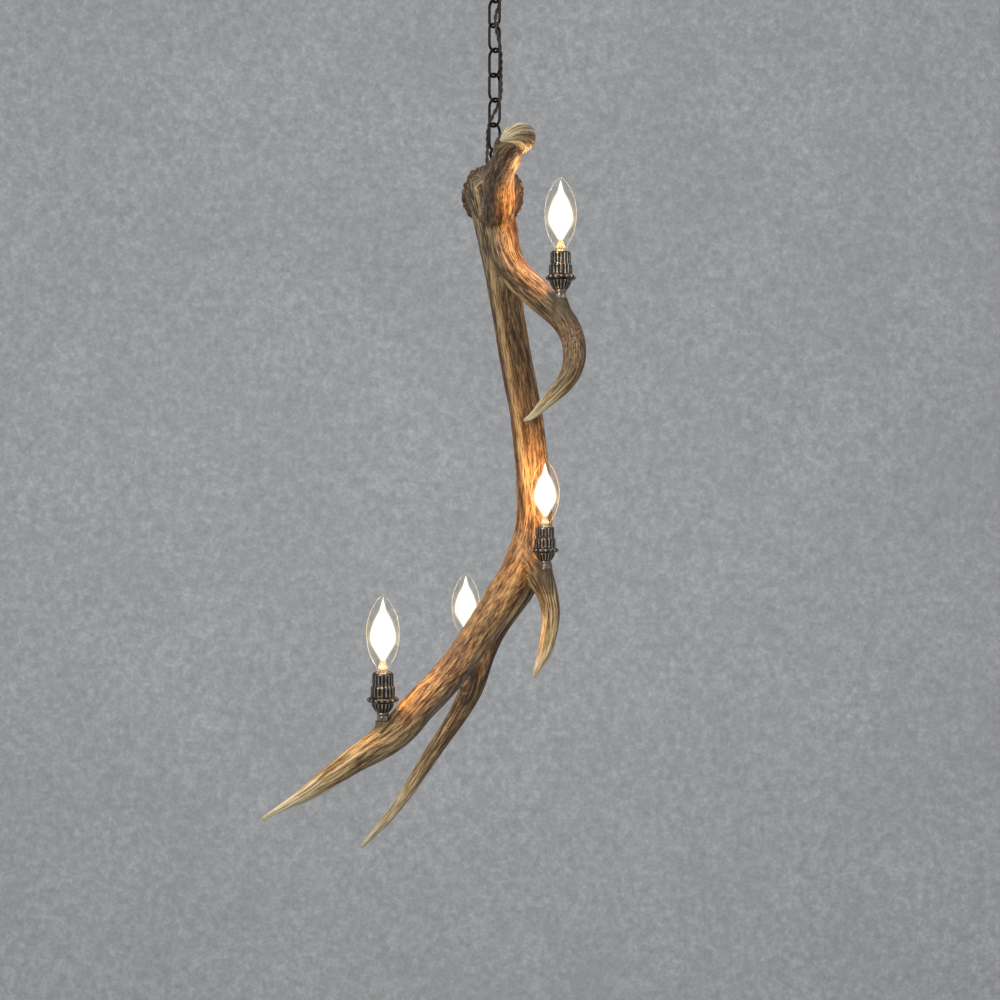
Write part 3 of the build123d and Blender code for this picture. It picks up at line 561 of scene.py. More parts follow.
class Shape:
    """Vertices and faces gathered from several lathed and swept forms."""

    def __init__(self):
        self.vertices = []
        self.faces = []

    def grid(self, rows, closed_across=True, closed_along=False):
        """Joins rows of points, each of the same length, into quads."""
        start = len(self.vertices)
        width = len(rows[0])
        for row in rows:
            self.vertices.extend(row)
        for i in range(len(rows) if closed_along else len(rows) - 1):
            j = (i + 1) % len(rows)
            for k in range(width if closed_across else width - 1):
                m = (k + 1) % width
                corners = (i * width + k, i * width + m, j * width + m, j * width + k)
                self.faces.append(tuple(start + v for v in corners))

    def cap(self, row, flip=False):
        """Closes the end of a grid with one face."""
        start = len(self.vertices)
        self.vertices.extend(row)
        ring = tuple(range(start, start + len(row)))
        self.faces.append(ring[::-1] if flip else ring)

    def lathe(self, centre, profile, steps, bend=None, closed=False):
        """Turns (radius, height) points about an upright axis. bend(radius, height, angle) gives a new
        radius."""
        rows = []
        for radius, height in profile:
            row = []
            for k in range(steps):
                angle = 2 * pi * k / steps
                r = bend(radius, height, angle) if bend else radius
                x, y = r * cos(angle), r * sin(angle)
                row.append(Vector((centre[0] + x, centre[1] + y, centre[2] + height)))
            rows.append(row)
        self.grid(rows, closed_along=closed)

    def sweep(self, path, radius, sides, closed=False):
        """A tube along a path, with a frame that turns as little as it can. An open tube gets flat ends.
        The radius is a number, or a list with one for each point."""
        points = [Vector(p) for p in path]
        count = len(points)
        tangents = []
        for i in range(count):
            before = points[i - 1] if closed or i else points[i]
            after = points[(i + 1) % count] if closed or i < count - 1 else points[i]
            tangents.append((after - before).normalized())
        side = tangents[0].orthogonal().normalized()
        rows = []
        for i, (point, tangent) in enumerate(zip(points, tangents)):
            if i:
                side = tangents[i - 1].rotation_difference(tangent) @ side
                side = (side - side.dot(tangent) * tangent).normalized()
            wide = radius[i] if isinstance(radius, list) else radius
            rows.append(circle(point, side, tangent.cross(side), wide, sides))
        self.grid(rows, closed_along=closed)
        if not closed:
            self.cap(rows[0], flip=True)
            self.cap(rows[-1])

    def stud(self, centre, turn, profile, sides, closed_foot):
        """A small turned form that points level outwards, in the direction that an angle gives. Its
        profile is a list of (distance outwards, radius) in millimetres."""
        out = Vector((cos(turn), sin(turn), 0))
        side = Vector((-sin(turn), cos(turn), 0))
        rows = [circle(centre + out * along * MM, side, UP, wide * MM, sides) for along, wide in profile]
        self.grid(rows)
        self.cap(rows[-1])
        if closed_foot:
            self.cap(rows[0], flip=True)

    def build(self, name, material, angle=35):
        return sharpen(mesh_object(name, self.vertices, self.faces, material), angle)


def turned(centre, profile, steps, bend=None, closed=False):
    shape = Shape()
    shape.lathe(centre, profile, steps, bend, closed)
    return shape


def dress(piece, body, node):
    """The piece moves with the body and stands for the node's solid."""
    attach(piece, body)
    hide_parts(node)


def dress_node(shape, body, node, material, angle=35):
    """Builds a shape that stands for a node's solid."""
    piece = shape.build(f"{node}_dressed", material, angle)
    dress(piece, body, node)
    return piece


def rounded(points, radius, steps=4):
    """A profile whose inner corners are rounded off, by at most half of the shorter side."""
    out = [points[0]]
    for before, corner, after in zip(points, points[1:], points[2:]):
        a, c, b = Vector(before), Vector(corner), Vector(after)
        reach = min(radius, (a - c).length / 2.2, (b - c).length / 2.2)
        start = c + (a - c).normalized() * reach
        end = c + (b - c).normalized() * reach
        for i in range(steps + 1):
            t = i / steps
            out.append(tuple((1 - t) ** 2 * start + 2 * t * (1 - t) * c + t ** 2 * end))
    out.append(points[-1])
    return out


def mm(points):
    """Points given in millimetres, in metres."""
    return [tuple(v * MM for v in p) for p in points]


def spline_points(controls, resolution):
    """Points read from a smooth spline whose control points are given."""
    data = bpy.data.curves.new("route", "CURVE")
    data.dimensions = "3D"
    spline = data.splines.new("NURBS")
    spline.points.add(len(controls) - 1)
    for point, control in zip(spline.points, controls):
        point.co = (*control, 1.0)
    spline.order_u = 3
    spline.use_endpoint_u = True
    spline.resolution_u = resolution
    holder = place_object("route", data)
    mesh = bpy.data.meshes.new_from_object(holder)
    points = [v.co.copy() for v in mesh.vertices]
    bpy.data.objects.remove(holder)
    bpy.data.meshes.remove(mesh)
    return points


def smooth_line(points, per_span):
    """Points along a curve that passes through each given point."""
    out = []
    last = len(points) - 1
    for i in range(last):
        p0, p1, p2, p3 = (Vector(points[max(0, min(last, i + k))]) for k in (-1, 0, 1, 2))
        for step in range(per_span):
            t = step / per_span
            square = (2 * p0 - 5 * p1 + 4 * p2 - p3) * t * t
            cube = (3 * p1 - p0 - 3 * p2 + p3) * t ** 3
            out.append(0.5 * (2 * p1 + (p2 - p0) * t + square + cube))
    out.append(Vector(points[-1]))
    return out


def smooth_profile(points, per_span):
    """A curved (radius, height) profile through points given in millimetres, in metres."""
    line = smooth_line([(radius, height, 0) for radius, height in points], per_span)
    return [(p.x * MM, p.y * MM) for p in line]


# ---- ceiling set ----
CANOPY_OUTSIDE = [
    (57, 0), (57.9, -0.2), (58.3, -0.9), (58.2, -1.9), (57.4, -2.5), (56.9, -2.9), (56.6, -4.2),
    (55.7, -6.8), (54.2, -9.4), (51.2, -12.6), (46.5, -16.5), (40.5, -19.7), (33, -22.3), (25, -24.3),
    (18, -25.5), (13, -25.9), (7.5, -26),
]
CANOPY_INSIDE = [
    (7.5, -25), (12.6, -24.9), (18, -24.5), (25, -23.3), (32.7, -21.3), (39.9, -18.8), (45.7, -15.6),
    (50.2, -11.9), (53.3, -8.8), (54.9, -6), (55.7, -3.5), (56, 0),
]
STEM = [
    (5.1, -18), (6.6, -18), (7, -18.4), (7, -34.2), (8.2, -34.4), (8.6, -34.9), (8.6, -37.2),
    (8.3, -38.6), (7.4, -40), (6.2, -41), (4.6, -41.3), (3.4, -41.2), (3.4, -30), (5.1, -29.4),
]
COLLAR = [
    (7.3, 0.3), (7.6, 0), (10.8, 0), (11.4, 0.5), (11.5, 1), (11.5, 5.4), (11.4, 5.7), (11.5, 6),
    (11.5, 6.8), (11.1, 7.2), (7.6, 7.2), (7.3, 6.9),
]


def link_across(number):
    """The direction across a link, which is also across its rings."""
    turn = LINK_TURN if number % 2 else -LINK_TURN
    return Vector((cos(turn), sin(turn), 0))


def ring_path(number, centre, radius):
    """A ring that hangs in the plane of a link of that number."""
    return circle(Vector((0, 0, centre)), UP, link_across(number), radius, RING_STEPS)


def dress_canopy():
    profile = mm(rounded(CANOPY_OUTSIDE, 2.0, steps=2) + CANOPY_INSIDE)
    shape = turned(AXIS, profile, steps=128, closed=True)
    dress_node(shape, "ceiling", "canopy", DARK_BRONZE)


def dress_ceiling_loop():
    shape = turned(AXIS, mm(STEM), steps=64, closed=True)
    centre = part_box("ceiling_loop")[0].z + LOOP_WIRE + LOOP_RADIUS
    shape.sweep(ring_path(0, centre, LOOP_RADIUS), LOOP_WIRE, sides=18, closed=True)
    dress_node(shape, "ceiling", "ceiling_loop", DARK_BRONZE)


def dress_collar():
    low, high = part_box("collar_ring")
    least_radius = high.x * 0.97
    knurled_height = (high.z - low.z) * KNURLED_SHARE

    def knurled(radius, height, angle):
        """Straight knurling below the collar's plain rim."""
        if radius < least_radius or height > knurled_height:
            return radius
        return radius - KNURL_DEPTH * max(0.0, cos(KNURLS * angle)) ** 3

    shape = turned((0, 0, low.z), mm(COLLAR), steps=KNURLS * 8, bend=knurled, closed=True)
    dress_node(shape, "collar", "collar_ring", DARK_BRONZE, angle=50)


# ---- chain ----
def dress_link(number):
    """An open oval link. Returns the height of its middle."""
    name = f"link_{number}"
    low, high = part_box(name)
    across = link_across(number)
    top = high.z - LINK_WIRE
    bottom = low.z + LINK_WIRE
    path = []
    for way, middle in ((1, top - LINK_HALF_WIDTH), (-1, bottom + LINK_HALF_WIDTH)):
        for k in range(LINK_ARC_STEPS + 1):
            angle = pi * k / LINK_ARC_STEPS
            rise = Vector((0, 0, middle + way * LINK_HALF_WIDTH * sin(angle)))
            path.append(across * way * LINK_HALF_WIDTH * cos(angle) + rise)
    shape = Shape()
    shape.sweep(path, LINK_WIRE, sides=16, closed=True)
    dress_node(shape, name, name, DARK_BRONZE)
    return (top + bottom) / 2


def dress_screw_eye():
    low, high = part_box("screw_eye")
    centre = high.z - EYE_WIRE - EYE_RADIUS
    foot = centre - EYE_RADIUS
    shape = Shape()
    shape.sweep(ring_path(LINKS + 1, centre, EYE_RADIUS), EYE_WIRE, sides=16, closed=True)
    shank = [(0, 0, foot + t * (low.z - foot)) for t in (0, 0.5, 0.96, 1)]
    shape.sweep(shank, [SHANK_RADIUS] * 3 + [SHANK_TIP_RADIUS], sides=24)
    flange = rounded([(2.0, -0.4), (4.2, 0.0), (4.6, 0.8), (3.4, 1.6), (2.0, 2.4)], 0.6)
    shape.lathe((0, 0, foot - FLANGE_DROP), mm(flange), steps=32)
    dress_node(shape, "antler", "screw_eye", DARK_BRONZE)


# ---- lead ----
def strand_rows(points, starts, phase):
    """Rings of one strand of the twisted lead, with a vector that runs along and around it."""
    rows, marks = [], []
    for i, point in enumerate(points):
        tangent = (points[min(i + 1, len(points) - 1)] - points[max(i - 1, 0)]).normalized()
        side = tangent.cross(Vector((0.31, 0.95, 0.02))).normalized()
        up = tangent.cross(side)
        turn = 2 * pi * starts[i] / LEAD_PITCH + phase
        centre = point + (side * cos(turn) + up * sin(turn)) * LEAD_STRAND * 0.9
        rows.append(circle(centre, side, up, LEAD_STRAND, LEAD_SIDES, turn))
        for k in range(LEAD_SIDES):
            marks.append((starts[i] * WEAVE_SCALE, k * 4 * pi / LEAD_SIDES, 0.0))
    return rows, marks


def dress_lead(link_middles):
    """The lead in one piece for each joint of the chain, cut at the middle of each link."""
    bodies = ["ceiling", *(f"link_{n}" for n in range(1, LINKS + 1)), "antler"]
    route = spline_points(mm(LEAD_ROUTE), resolution=24)
    lengths = [0.0]
    for before, after in zip(route, route[1:]):
        lengths.append(lengths[-1] + (after - before).length)
    cuts = [0.0, *link_middles, -1.0]
    for index, (upper, lower) in enumerate(zip(bodies, bodies[1:])):
        inside = [i for i, p in enumerate(route) if cuts[index] >= p.z >= cuts[index + 1]]
        stretch = slice(max(inside[0] - 1, 0), inside[-1] + 1)
        shape = Shape()
        marks = []
        for phase in (0.0, pi):
            rows, strand_marks = strand_rows(route[stretch], lengths[stretch], phase)
            shape.grid(rows)
            marks.extend(strand_marks)
        lead = mesh_object(f"lead_stretch_{index + 1}", shape.vertices, shape.faces, WEAVE)
        add_layer(lead.data, "strand", marks)
        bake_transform(lead)
        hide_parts("supply_lead")


# ---- sockets ----
# profiles as (radius, height above the seat) in millimetres
CAP = rounded([
    (5.1, 0), (6.2, 0), (6.2, 4.6), (5.6, 5.1), (5.6, 5.9), (6.2, 6.4), (6.5, 8.2), (6.1, 8.8),
    (6.7, 9.3), (7.9, 10.4), (9.3, 12.2), (10.6, 14.2), (11.6, 16.6), (12.1, 19.5), (11.1, 19.5),
    (9.8, 15), (6.3, 12.6), (5.1, 12.4),
], 0.5, steps=3)
RING = rounded([
    (11, 19.5), (13.2, 19.5), (14.2, 19.9), (16, 21), (16.2, 21.6), (16.2, 23.4), (16, 24),
    (14.2, 25.1), (13.2, 25.5), (11, 25.5),
], 0.5, steps=3)
SHELL = rounded([
    (11.6, 25.5), (12.8, 25.5), (12.8, 26.6), (12.8, 27), (12.8, 28), (12.8, 33), (12.8, 34.8),
    (12.8, 35.4), (12.2, 36.2), (11.3, 36.6), (11.2, 37.2), (11.2, 38.2), (11.2, 39.2), (11.2, 43),
    (11.2, 46.4), (11.2, 47.2), (11.2, 48.2), (10.9, 49.4), (10.1, 50.6), (8.8, 51.3), (7.4, 51.5),
    (7.4, 50.3), (9.6, 49), (10, 48.2), (10, 36), (11.6, 34.6),
], 0.3, steps=2)
# the shell's two tiers of flutes, as (foot, top, outer radius), and the bowl's, in millimetres
SHELL_TIERS = ((26.8, 35.2, 12.8), (37.6, 47.6, 11.2))
BOWL_FOOT = 9.8
BOWL_TOP = 18.6
BOWL_LEAST_RADIUS = 7.2
# beads and screws as (distance outwards, radius)
BEAD = ((0.0, 1.55), (0.55, 1.5), (0.95, 1.1), (1.15, 0.5), (1.18, 0.05))
BEAD_HEIGHT = 22.5 * MM
BEAD_CIRCLE = 15.6 * MM
SCREW = ((5.2, 1.45), (7.9, 1.45), (8.25, 1.2), (8.3, 0.6))
SCREW_HEIGHT = 8.9 * MM
SCREW_TURN = radians(-50)


def flute(angle):
    """How deep a flute is at an angle, from 0 on a bar to 1 in its middle."""
    return (0.5 + 0.5 * cos(FLUTES * angle)) ** 1.6


def bar(angle):
    """How much painted highlight the top of a bar between two flutes gets."""
    return 0.9 * max(0.0, -cos(FLUTES * angle)) ** 0.7


def fluted(radius, height, angle):
    """Upright flutes in both tiers of the shell, stopping short of their rims."""
    for foot, top, outer in SHELL_TIERS:
        if foot * MM < height < top * MM and radius > (outer - 0.5) * MM:
            depth = min(1.0, (height / MM - foot) / 0.9, (top - height / MM) / 0.9)
            return radius - FLUTE_DEPTH * depth * flute(angle)
    return radius


def ribbed(radius, height, angle):
    """Upright ribs round the bowl, which run out at its foot and its top."""
    if BOWL_FOOT * MM < height < BOWL_TOP * MM and radius > BOWL_LEAST_RADIUS * MM:
        depth = min(1.0, (height / MM - BOWL_FOOT) / 2.0, (BOWL_TOP - height / MM) / 1.5)
        return radius - RIB_DEPTH * depth * flute(angle)
    return radius


# painted highlights on the shell's bars, the ring's rim and the cap
def shell_highlight(radius, height, angle):
    return bar(angle) if radius > 10.4 and height < 49 else 0.25


def ring_highlight(radius, height, angle):
    return 0.8 if radius > 16.25 else 0.1


def cap_highlight(radius, height, angle):
    return 0.75 if height < 9.2 else bar(angle)


def mark_highlights(piece, seats, highlight):
    """Marks where a piece gets painted highlights, drawn as bright metal. The given function of (radius,
    height, angle) gives them for each point about its socket, in millimetres."""
    values = []
    for vertex in piece.data.vertices:
        away = vertex.co - min(seats, key=lambda seat: (vertex.co - seat).length)
        values.append(highlight(Vector((away.x, away.y)).length / MM, away.z / MM, atan2(away.y, away.x)))
    add_layer(piece.data, "wear_and_highlight", values)


def socket_seats():
    """Where each socket stands on its boss, which lies a fixed way below its bulb's glass."""
    seats = []
    for number in range(1, BULBS + 1):
        low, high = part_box(f"bulb_glass_{number}")
        seats.append(Vector(((low.x + high.x) / 2, (low.y + high.y) / 2, low.z - GLASS_BELOW_MOUTH)))
    return seats


def dress_sockets(seats):
    caps, rings, shells, screws = Shape(), Shape(), Shape(), Shape()
    for seat in seats:
        caps.lathe(seat, mm(CAP), steps=FLUTES * 8, bend=ribbed, closed=True)
        rings.lathe(seat, mm(RING), steps=80, closed=True)
        shells.lathe(seat, mm(SHELL), steps=FLUTES * 10, bend=fluted, closed=True)
        for k in range(BEADS):
            turn = 2 * pi * k / BEADS
            out = Vector((cos(turn), sin(turn), 0))
            rings.stud(seat + UP * BEAD_HEIGHT + out * BEAD_CIRCLE, turn, BEAD, sides=14, closed_foot=False)
        screws.stud(seat + UP * SCREW_HEIGHT, SCREW_TURN, SCREW, sides=24, closed_foot=True)
    for node, shape, highlight in (
        ("socket_caps", caps, cap_highlight), ("socket_rings", rings, ring_highlight),
        ("socket_shells", shells, shell_highlight), ("set_screws", screws, None),
    ):
        piece = shape.build(f"{node}_dressed", AGED_BRASS, angle=40)
        if highlight:
            mark_highlights(piece, seats, highlight)
        dress(piece, "antler", node)


# ---- bulbs ----
# profiles as (radius, height above the glass's foot) in millimetres
GLASS_CURVE = smooth_profile([
    (6.3, 0), (6.75, 2.4), (7.1, 5), (9.3, 8.6), (12.6, 14.6), (15.3, 22.5), (16.9, 31),
    (17.4, 38.5), (17, 46.5), (15.5, 55), (12.7, 63), (9, 70), (5, 75.4), (1.9, 78.6),
    (0.12, 79.4),
], per_span=6)
LIGHT_CURVE = smooth_profile([
    (0.1, 9), (2.6, 11.5), (5.4, 16), (9.6, 22.5), (13, 28.5), (14.2, 34.5), (13.2, 42),
    (10.8, 50), (7.6, 57), (3.8, 63.5), (1.9, 70), (0.1, 76),
], per_span=5)
STEM_CURVE = rounded([
    (0.1, 0.9), (5.4, 0.9), (5.2, 3.2), (3.6, 6.5), (2.5, 12), (2.1, 18), (1.6, 21.5), (0.1, 22.2),
], 1.5)
THREAD_STEPS = 50
BASE = [(0.2, -13.0), (4.6, -13.0), (5.2, -12.7)]
BASE += [(5.95, -12.2 + 0.22 * k) for k in range(THREAD_STEPS)]
BASE += [(5.7, -0.9), (5.6, 0.0), (0.2, 0.0)]
THREADED_RADIUS = 5.8 * MM
STRIPS = 4
STRIP_FOOT = 21.5 * MM
STRIP_TOP = 54.0 * MM
STRIP_RADIUS = 0.95 * MM
STRIP_END_RADIUS = 0.5 * MM
STRIP_FOOT_OUT = 2.6 * MM
STRIP_TOP_OUT = 4.4 * MM
WIRE_RADIUS = 0.18 * MM
STEM_END = 19.5 * MM
WIRES_MEET = 57.5 * MM
LAMP_HEIGHT = 40 * MM
LAMP_RADIUS = 13 * MM


def threaded(radius, height, angle):
    """The rolled thread of a candelabra base."""
    if radius < THREADED_RADIUS:
        return radius
    return radius - THREAD_DEPTH * (0.5 - 0.5 * cos(2 * pi * height / THREAD_PITCH + angle))


def build_filaments(number, foot):
    """Four upright strips with the wires that hold them to the stem and to each other."""
    strips, wires = Shape(), Shape()
    for k in range(STRIPS):
        angle = pi / 4 + 2 * pi * k / STRIPS
        out = Vector((cos(angle), sin(angle), 0))
        low = foot + UP * STRIP_FOOT + out * STRIP_FOOT_OUT
        high = foot + UP * STRIP_TOP + out * STRIP_TOP_OUT
        strips.sweep([low, low.lerp(high, 0.02), low.lerp(high, 0.98), high],
                     [STRIP_END_RADIUS, STRIP_RADIUS, STRIP_RADIUS, STRIP_END_RADIUS], sides=10)
        stem_end = foot + UP * STEM_END + out * 0.8 * MM
        wires.sweep([stem_end, low - UP * (1.0 * MM), low], WIRE_RADIUS, sides=6)
        bend = high + UP * (1.4 * MM) - out * 0.6 * MM
        wires.sweep([high, bend, foot + UP * WIRES_MEET], WIRE_RADIUS, sides=6)
    return strips.build(f"bulb_strips_{number}", FILAMENT), wires.build(f"bulb_wires_{number}", ZINC)


def dress_bulb(number, foot):
    """A lit bulb. foot is where its glass meets its base."""
    body = f"bulb_{number}"
    glass_shape = turned(foot, GLASS_CURVE, steps=72)
    glass = dress_node(glass_shape, body, f"bulb_glass_{number}", GLASS, angle=80)
    base_shape = turned(foot, mm(BASE), steps=48, bend=threaded)
    dress_node(base_shape, body, f"bulb_base_{number}", NICKEL, angle=60)
    stem = turned(foot, mm(STEM_CURVE), steps=36).build(f"bulb_stem_{number}", STEM_GLASS, angle=70)
    strips, wires = build_filaments(number, foot)
    for piece in (stem, strips, wires):
        dress(piece, body, f"bulb_filaments_{number}")

    light = turned(foot, LIGHT_CURVE, steps=48).build(f"bulb_light_{number}", HALO, angle=80)
    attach(light, body)
    light.visible_diffuse = False
    for piece in (glass, stem, strips, wires, light):
        piece.visible_shadow = False

    lamp = bpy.data.lights.new(f"bulb_lamp_{number}", "POINT")
    lamp.energy = BULB_POWER[number - 1]
    lamp.color = (1.0, 0.5, 0.17)
    lamp.shadow_soft_size = LAMP_RADIUS
    place_object(f"bulb_lamp_{number}", lamp).location = foot + UP * LAMP_HEIGHT


# ---- antler ----
class Branch:
    """A branch's centre line, finely divided, with a frame that turns as little as it can."""

    def __init__(self, name, stations, seed):
        fine = smooth_line([station[:3] for station in stations], per_span=10)
        radii = [station[3] for station in stations]
        places = np.linspace(0, len(stations) - 1, len(fine))
        self.name = name
        self.seed = seed
        self.radii = np.interp(places, range(len(stations)), radii) * MM
        self.points = np.array([tuple(p) for p in fine]) * MM
        steps = np.linalg.norm(np.diff(self.points, axis=0), axis=1)
        self.along = np.concatenate([[0.0], np.cumsum(steps)])
        tangents = np.gradient(self.points, axis=0)
        self.tangents = tangents / np.linalg.norm(tangents, axis=1)[:, None]
        side = Vector(self.tangents[0]).cross(Vector((0.2, 0.4, 1.0))).normalized()
        sides = [side]
        for before, after in zip(self.tangents, self.tangents[1:]):
            side = Vector(before).rotation_difference(Vector(after)) @ side
            side = (side - side.dot(Vector(after)) * Vector(after)).normalized()
            sides.append(side)
        self.sides = np.array([tuple(s) for s in sides])
        self.ups = np.cross(self.tangents, self.sides)

    def measure(self, places):
        """For each place: how far it lies outside the branch, its place along it, its direction around it
        in the branch's own frame and in space, and the branch's direction there."""
        gap = np.full(len(places), 1e9)
        nearest = np.zeros(len(places), int)
        for i, (point, radius) in enumerate(zip(self.points, self.radii)):
            distance = np.linalg.norm(places - point, axis=1) - radius
            closer = distance < gap
            gap[closer] = distance[closer]
            nearest[closer] = i
        away = places - self.points[nearest]
        tangent = self.tangents[nearest]
        s = self.along[nearest] + rows_dot(away, tangent)
        u = rows_dot(away, self.sides[nearest])
        v = rows_dot(away, self.ups[nearest])
        size = np.maximum(np.hypot(u, v), 1e-6)
        outward = (self.sides[nearest] * u[:, None] + self.ups[nearest] * v[:, None]) / size[:, None]
        return size - np.interp(s, self.along, self.radii), s, u / size, v / size, outward, tangent


def rows_dot(a, b):
    """The dot product of each row of one array with the same row of another."""
    return np.einsum("ij,ij->i", a, b)


def clamp(values):
    return np.clip(values, 0, 1)


def fade(values):
    """Falls from 1 at 0 and below, in a bell, as the values grow."""
    return np.exp(-np.maximum(values, 0) ** 2)


def even_skin():
    """The antler's solid as an even mesh, softened so that its branches run into each other."""
    holder = place_object("antler_rough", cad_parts["antler"].data.copy())
    weld = holder.modifiers.new("weld", "WELD")
    weld.merge_threshold = 0.00002
    remesh = holder.modifiers.new("remesh", "REMESH")
    remesh.mode = "VOXEL"
    remesh.voxel_size = SKIN_VOXEL
    relax = holder.modifiers.new("relax", "SMOOTH")
    relax.factor = 0.5
    relax.iterations = 6
    bpy.context.view_layer.update()
    evaluated = holder.evaluated_get(bpy.context.evaluated_depsgraph_get())
    skin = bpy.data.meshes.new_from_object(evaluated)
    bpy.data.objects.remove(holder)
    skin.name = "antler_dressed"
    return skin


def boss_rows(seat, boss):
    """Rings up the top of one moulded boss, which leans from its foot to the socket's seat."""
    foot = Vector(boss.foot) * MM
    drop = seat.z - foot.z
    widening = boss.foot_radius * MM - BOSS_TOP_RADIUS
    rows = []
    for i in range(BOSS_ROWS + 1):
        down = min(boss.reach * MM, drop) * (1 - i / BOSS_ROWS)
        t = (down / drop) ** boss.lean
        centre = seat + (foot - seat) * t
        centre.z = seat.z - down
        sunk = min(1.0, max(0.0, (down - BOSS_LIP) / BOSS_SINK))
        wide = BOSS_TOP_RADIUS + widening * t - boss.inside_by * MM * sunk
        rows.append(circle(centre, Vector((1, 0, 0)), Vector((0, 1, 0)), wide, BOSS_STEPS))
    return rows


def add_bosses(skin, seats):
    """Joins the tops of the moulded bosses to the skin that they run into."""
    shape = Shape()
    for seat, boss in zip(seats, BOSSES):
        rows = boss_rows(seat, boss)
        shape.grid(rows)
        shape.cap(rows[0], flip=True)
        shape.cap(rows[-1])
    bosses = shape.build("boss_tops", ANTLER_SKIN)
    joined = bmesh.new()
    joined.from_mesh(skin)
    joined.from_mesh(bosses.data)
    joined.to_mesh(skin)
    joined.free()
    bpy.data.objects.remove(bosses)


def read_vectors(vertices, field):
    values = np.zeros(len(vertices) * 3)
    vertices.foreach_get(field, values)
    return values.reshape(-1, 3)


def branch_values(branch, s, outward, tangent):
    """How near its tip the branch's skin is, how mottled and rubbed, and how much painted light and
    painted shade it gets.
    """
    end = branch.along[-1]
    values = dict.fromkeys(("mottle", "sunlit", "shade", "wear_and_highlight"), np.zeros(len(s)))
    values["tip"] = clamp(1 - (end - s) / (TIP_REACH[branch.name] * MM))
    if branch.name == "upper":
        values["mottle"] = np.exp(-((end - s - MOTTLE_PLACE) / MOTTLE_REACH) ** 2)
    if branch.name == "beam":
        # painted light: a warm pool on the beam beside a bulb
        values["sunlit"] = np.exp(-((s - BULB_GLOW_PLACE) / BULB_GLOW_REACH) ** 2)
    if branch.name == "front":
        # painted light: the front branch is lighter where its skin faces up
        values["sunlit"] = clamp(0.35 + 0.9 * outward[:, 2])
    if branch.name in ("front", "beam"):
        # painted shade: darker where the skin faces down, fading before the tip
        values["shade"] = clamp(-0.1 - 1.3 * outward[:, 2]) * clamp((end - s) / SHADE_FADE)
    for edge_branch, facing, begin, finish in RUBBED_EDGES:
        if edge_branch == branch.name:
            square = np.array(facing) - tangent * (tangent @ np.array(facing))[:, None]
            toward = rows_dot(outward, square / np.linalg.norm(square, axis=1)[:, None])
            run = clamp((s - begin * MM) / RUBBED_START) * clamp((finish * MM - s) / RUBBED_END)
            values["wear_and_highlight"] = clamp((toward - RUBBED_EDGE) / RUBBED_FADE) * run
    return values


def measure_skin(places):
    """For each point of the skin: its place in each grain layer, the layers' shares and the values that
    its branches give it, mixed by how near it lies to each."""
    branches = [
        Branch("beam", BEAM, 0.0), Branch("brow", BROW_TINE, 3.7), Branch("upper", UPPER_TINE, 7.1),
        Branch("small", SMALL_TINE, 11.9), Branch("front", FRONT_BRANCH, 15.3),
    ]
    count = len(places)
    grains = np.zeros((LAYERS, count, 3))
    shares = np.zeros((count, LAYERS))
    closest = np.full((count, LAYERS), 1e9)
    values = {name: np.zeros(count) for name in ("tip", "mottle", "wear_and_highlight", "sunlit", "shade")}
    total = np.zeros(count)
    for branch in branches:
        outside_by, s, u, v, outward, tangent = branch.measure(places)
        behind = np.where(s < -4 * MM, 0.02, 1.0)
        weight = (fade(outside_by / SKIN_BLEND) + 1e-9) * behind
        sharp = (fade(outside_by / GRAIN_BLEND) + 1e-9) * behind
        layer = GRAIN_LAYER[branch.name]
        near = outside_by < closest[:, layer]
        closest[near, layer] = outside_by[near]
        local = np.stack([u * GRAIN_RADIUS, v * GRAIN_RADIUS, s * ALONG_SHARE + branch.seed], axis=1)
        grains[layer][near] = local[near]
        shares[near, layer] = sharp[near]
        for name, value in branch_values(branch, s, outward, tangent).items():
            values[name] += value * weight
        total += weight
    shares /= shares.sum(axis=1)[:, None]
    for name in values:
        values[name] /= total
    values["gain"] = 1 / np.sqrt((shares ** 2).sum(axis=1))
    return grains, shares, values


def place_values(places, seats):
    """What each point of the skin has from its place: the bosses' filler, the burr's crust, the stray
    pearls near it, and a grey-brown tone, strongest as painted shade on the upper antler's left
    side."""
    putty = np.zeros(len(places))
    for seat, boss in zip(seats, BOSSES):
        away = places - np.array(seat)
        flat = np.hypot(away[:, 0], away[:, 1])
        level = clamp((away[:, 2] + FILLER_DROP) / FILLER_FADE) * (away[:, 2] < FILLER_TOP)
        putty = np.maximum(putty, clamp(1.25 - flat / FILLER_RADIUS) * level * boss.filler)
    away = places - np.array(BURR_CENTRE)
    axial = away @ np.array(BURR_FACING)
    radial = np.linalg.norm(away - axial[:, None] * np.array(BURR_FACING), axis=1)
    burr = np.exp(-((radial - BURR_RADIUS) / BURR_WIDTH) ** 2 - (axial / BURR_THICKNESS) ** 2)
    near_burr = np.exp(-np.maximum(np.linalg.norm(away, axis=1) - STRAY_FROM, 0) / STRAY_REACH)
    # painted shade: grey-brown on the upper antler's left side, with a faint grey tone everywhere
    left = clamp(1.1 - (places[:, 0] - SHADED_SIDE) / SHADED_WIDTH)
    cool = clamp(left * clamp((places[:, 2] - SHADED_FOOT) / SHADED_HEIGHT) + 0.25)
    return putty, burr, near_burr, cool


def furrows(grains, shares):
    """How deep each point lies in the long grooves, wide and fine, of its branches."""
    depth = np.zeros(len(shares))
    for i, point_shares in enumerate(shares):
        for layer in range(LAYERS):
            if point_shares[layer] < 0.03:
                continue
            g = Vector(grains[layer][i])
            wide = max(0.0, 1 - abs(noise.noise(g * WIDE_FURROWS)) * WIDE_STEEPNESS)
            fine = max(0.0, 1 - abs(noise.noise(g * FINE_FURROWS + FINE_SHIFT)) * FINE_STEEPNESS)
            drift = DRIFT_SHARE * (noise.noise(g * FURROW_DRIFT) - 1)
            depth[i] += point_shares[layer] * (WIDE_SHARE * wide + FINE_SHARE * fine + drift)
    return depth


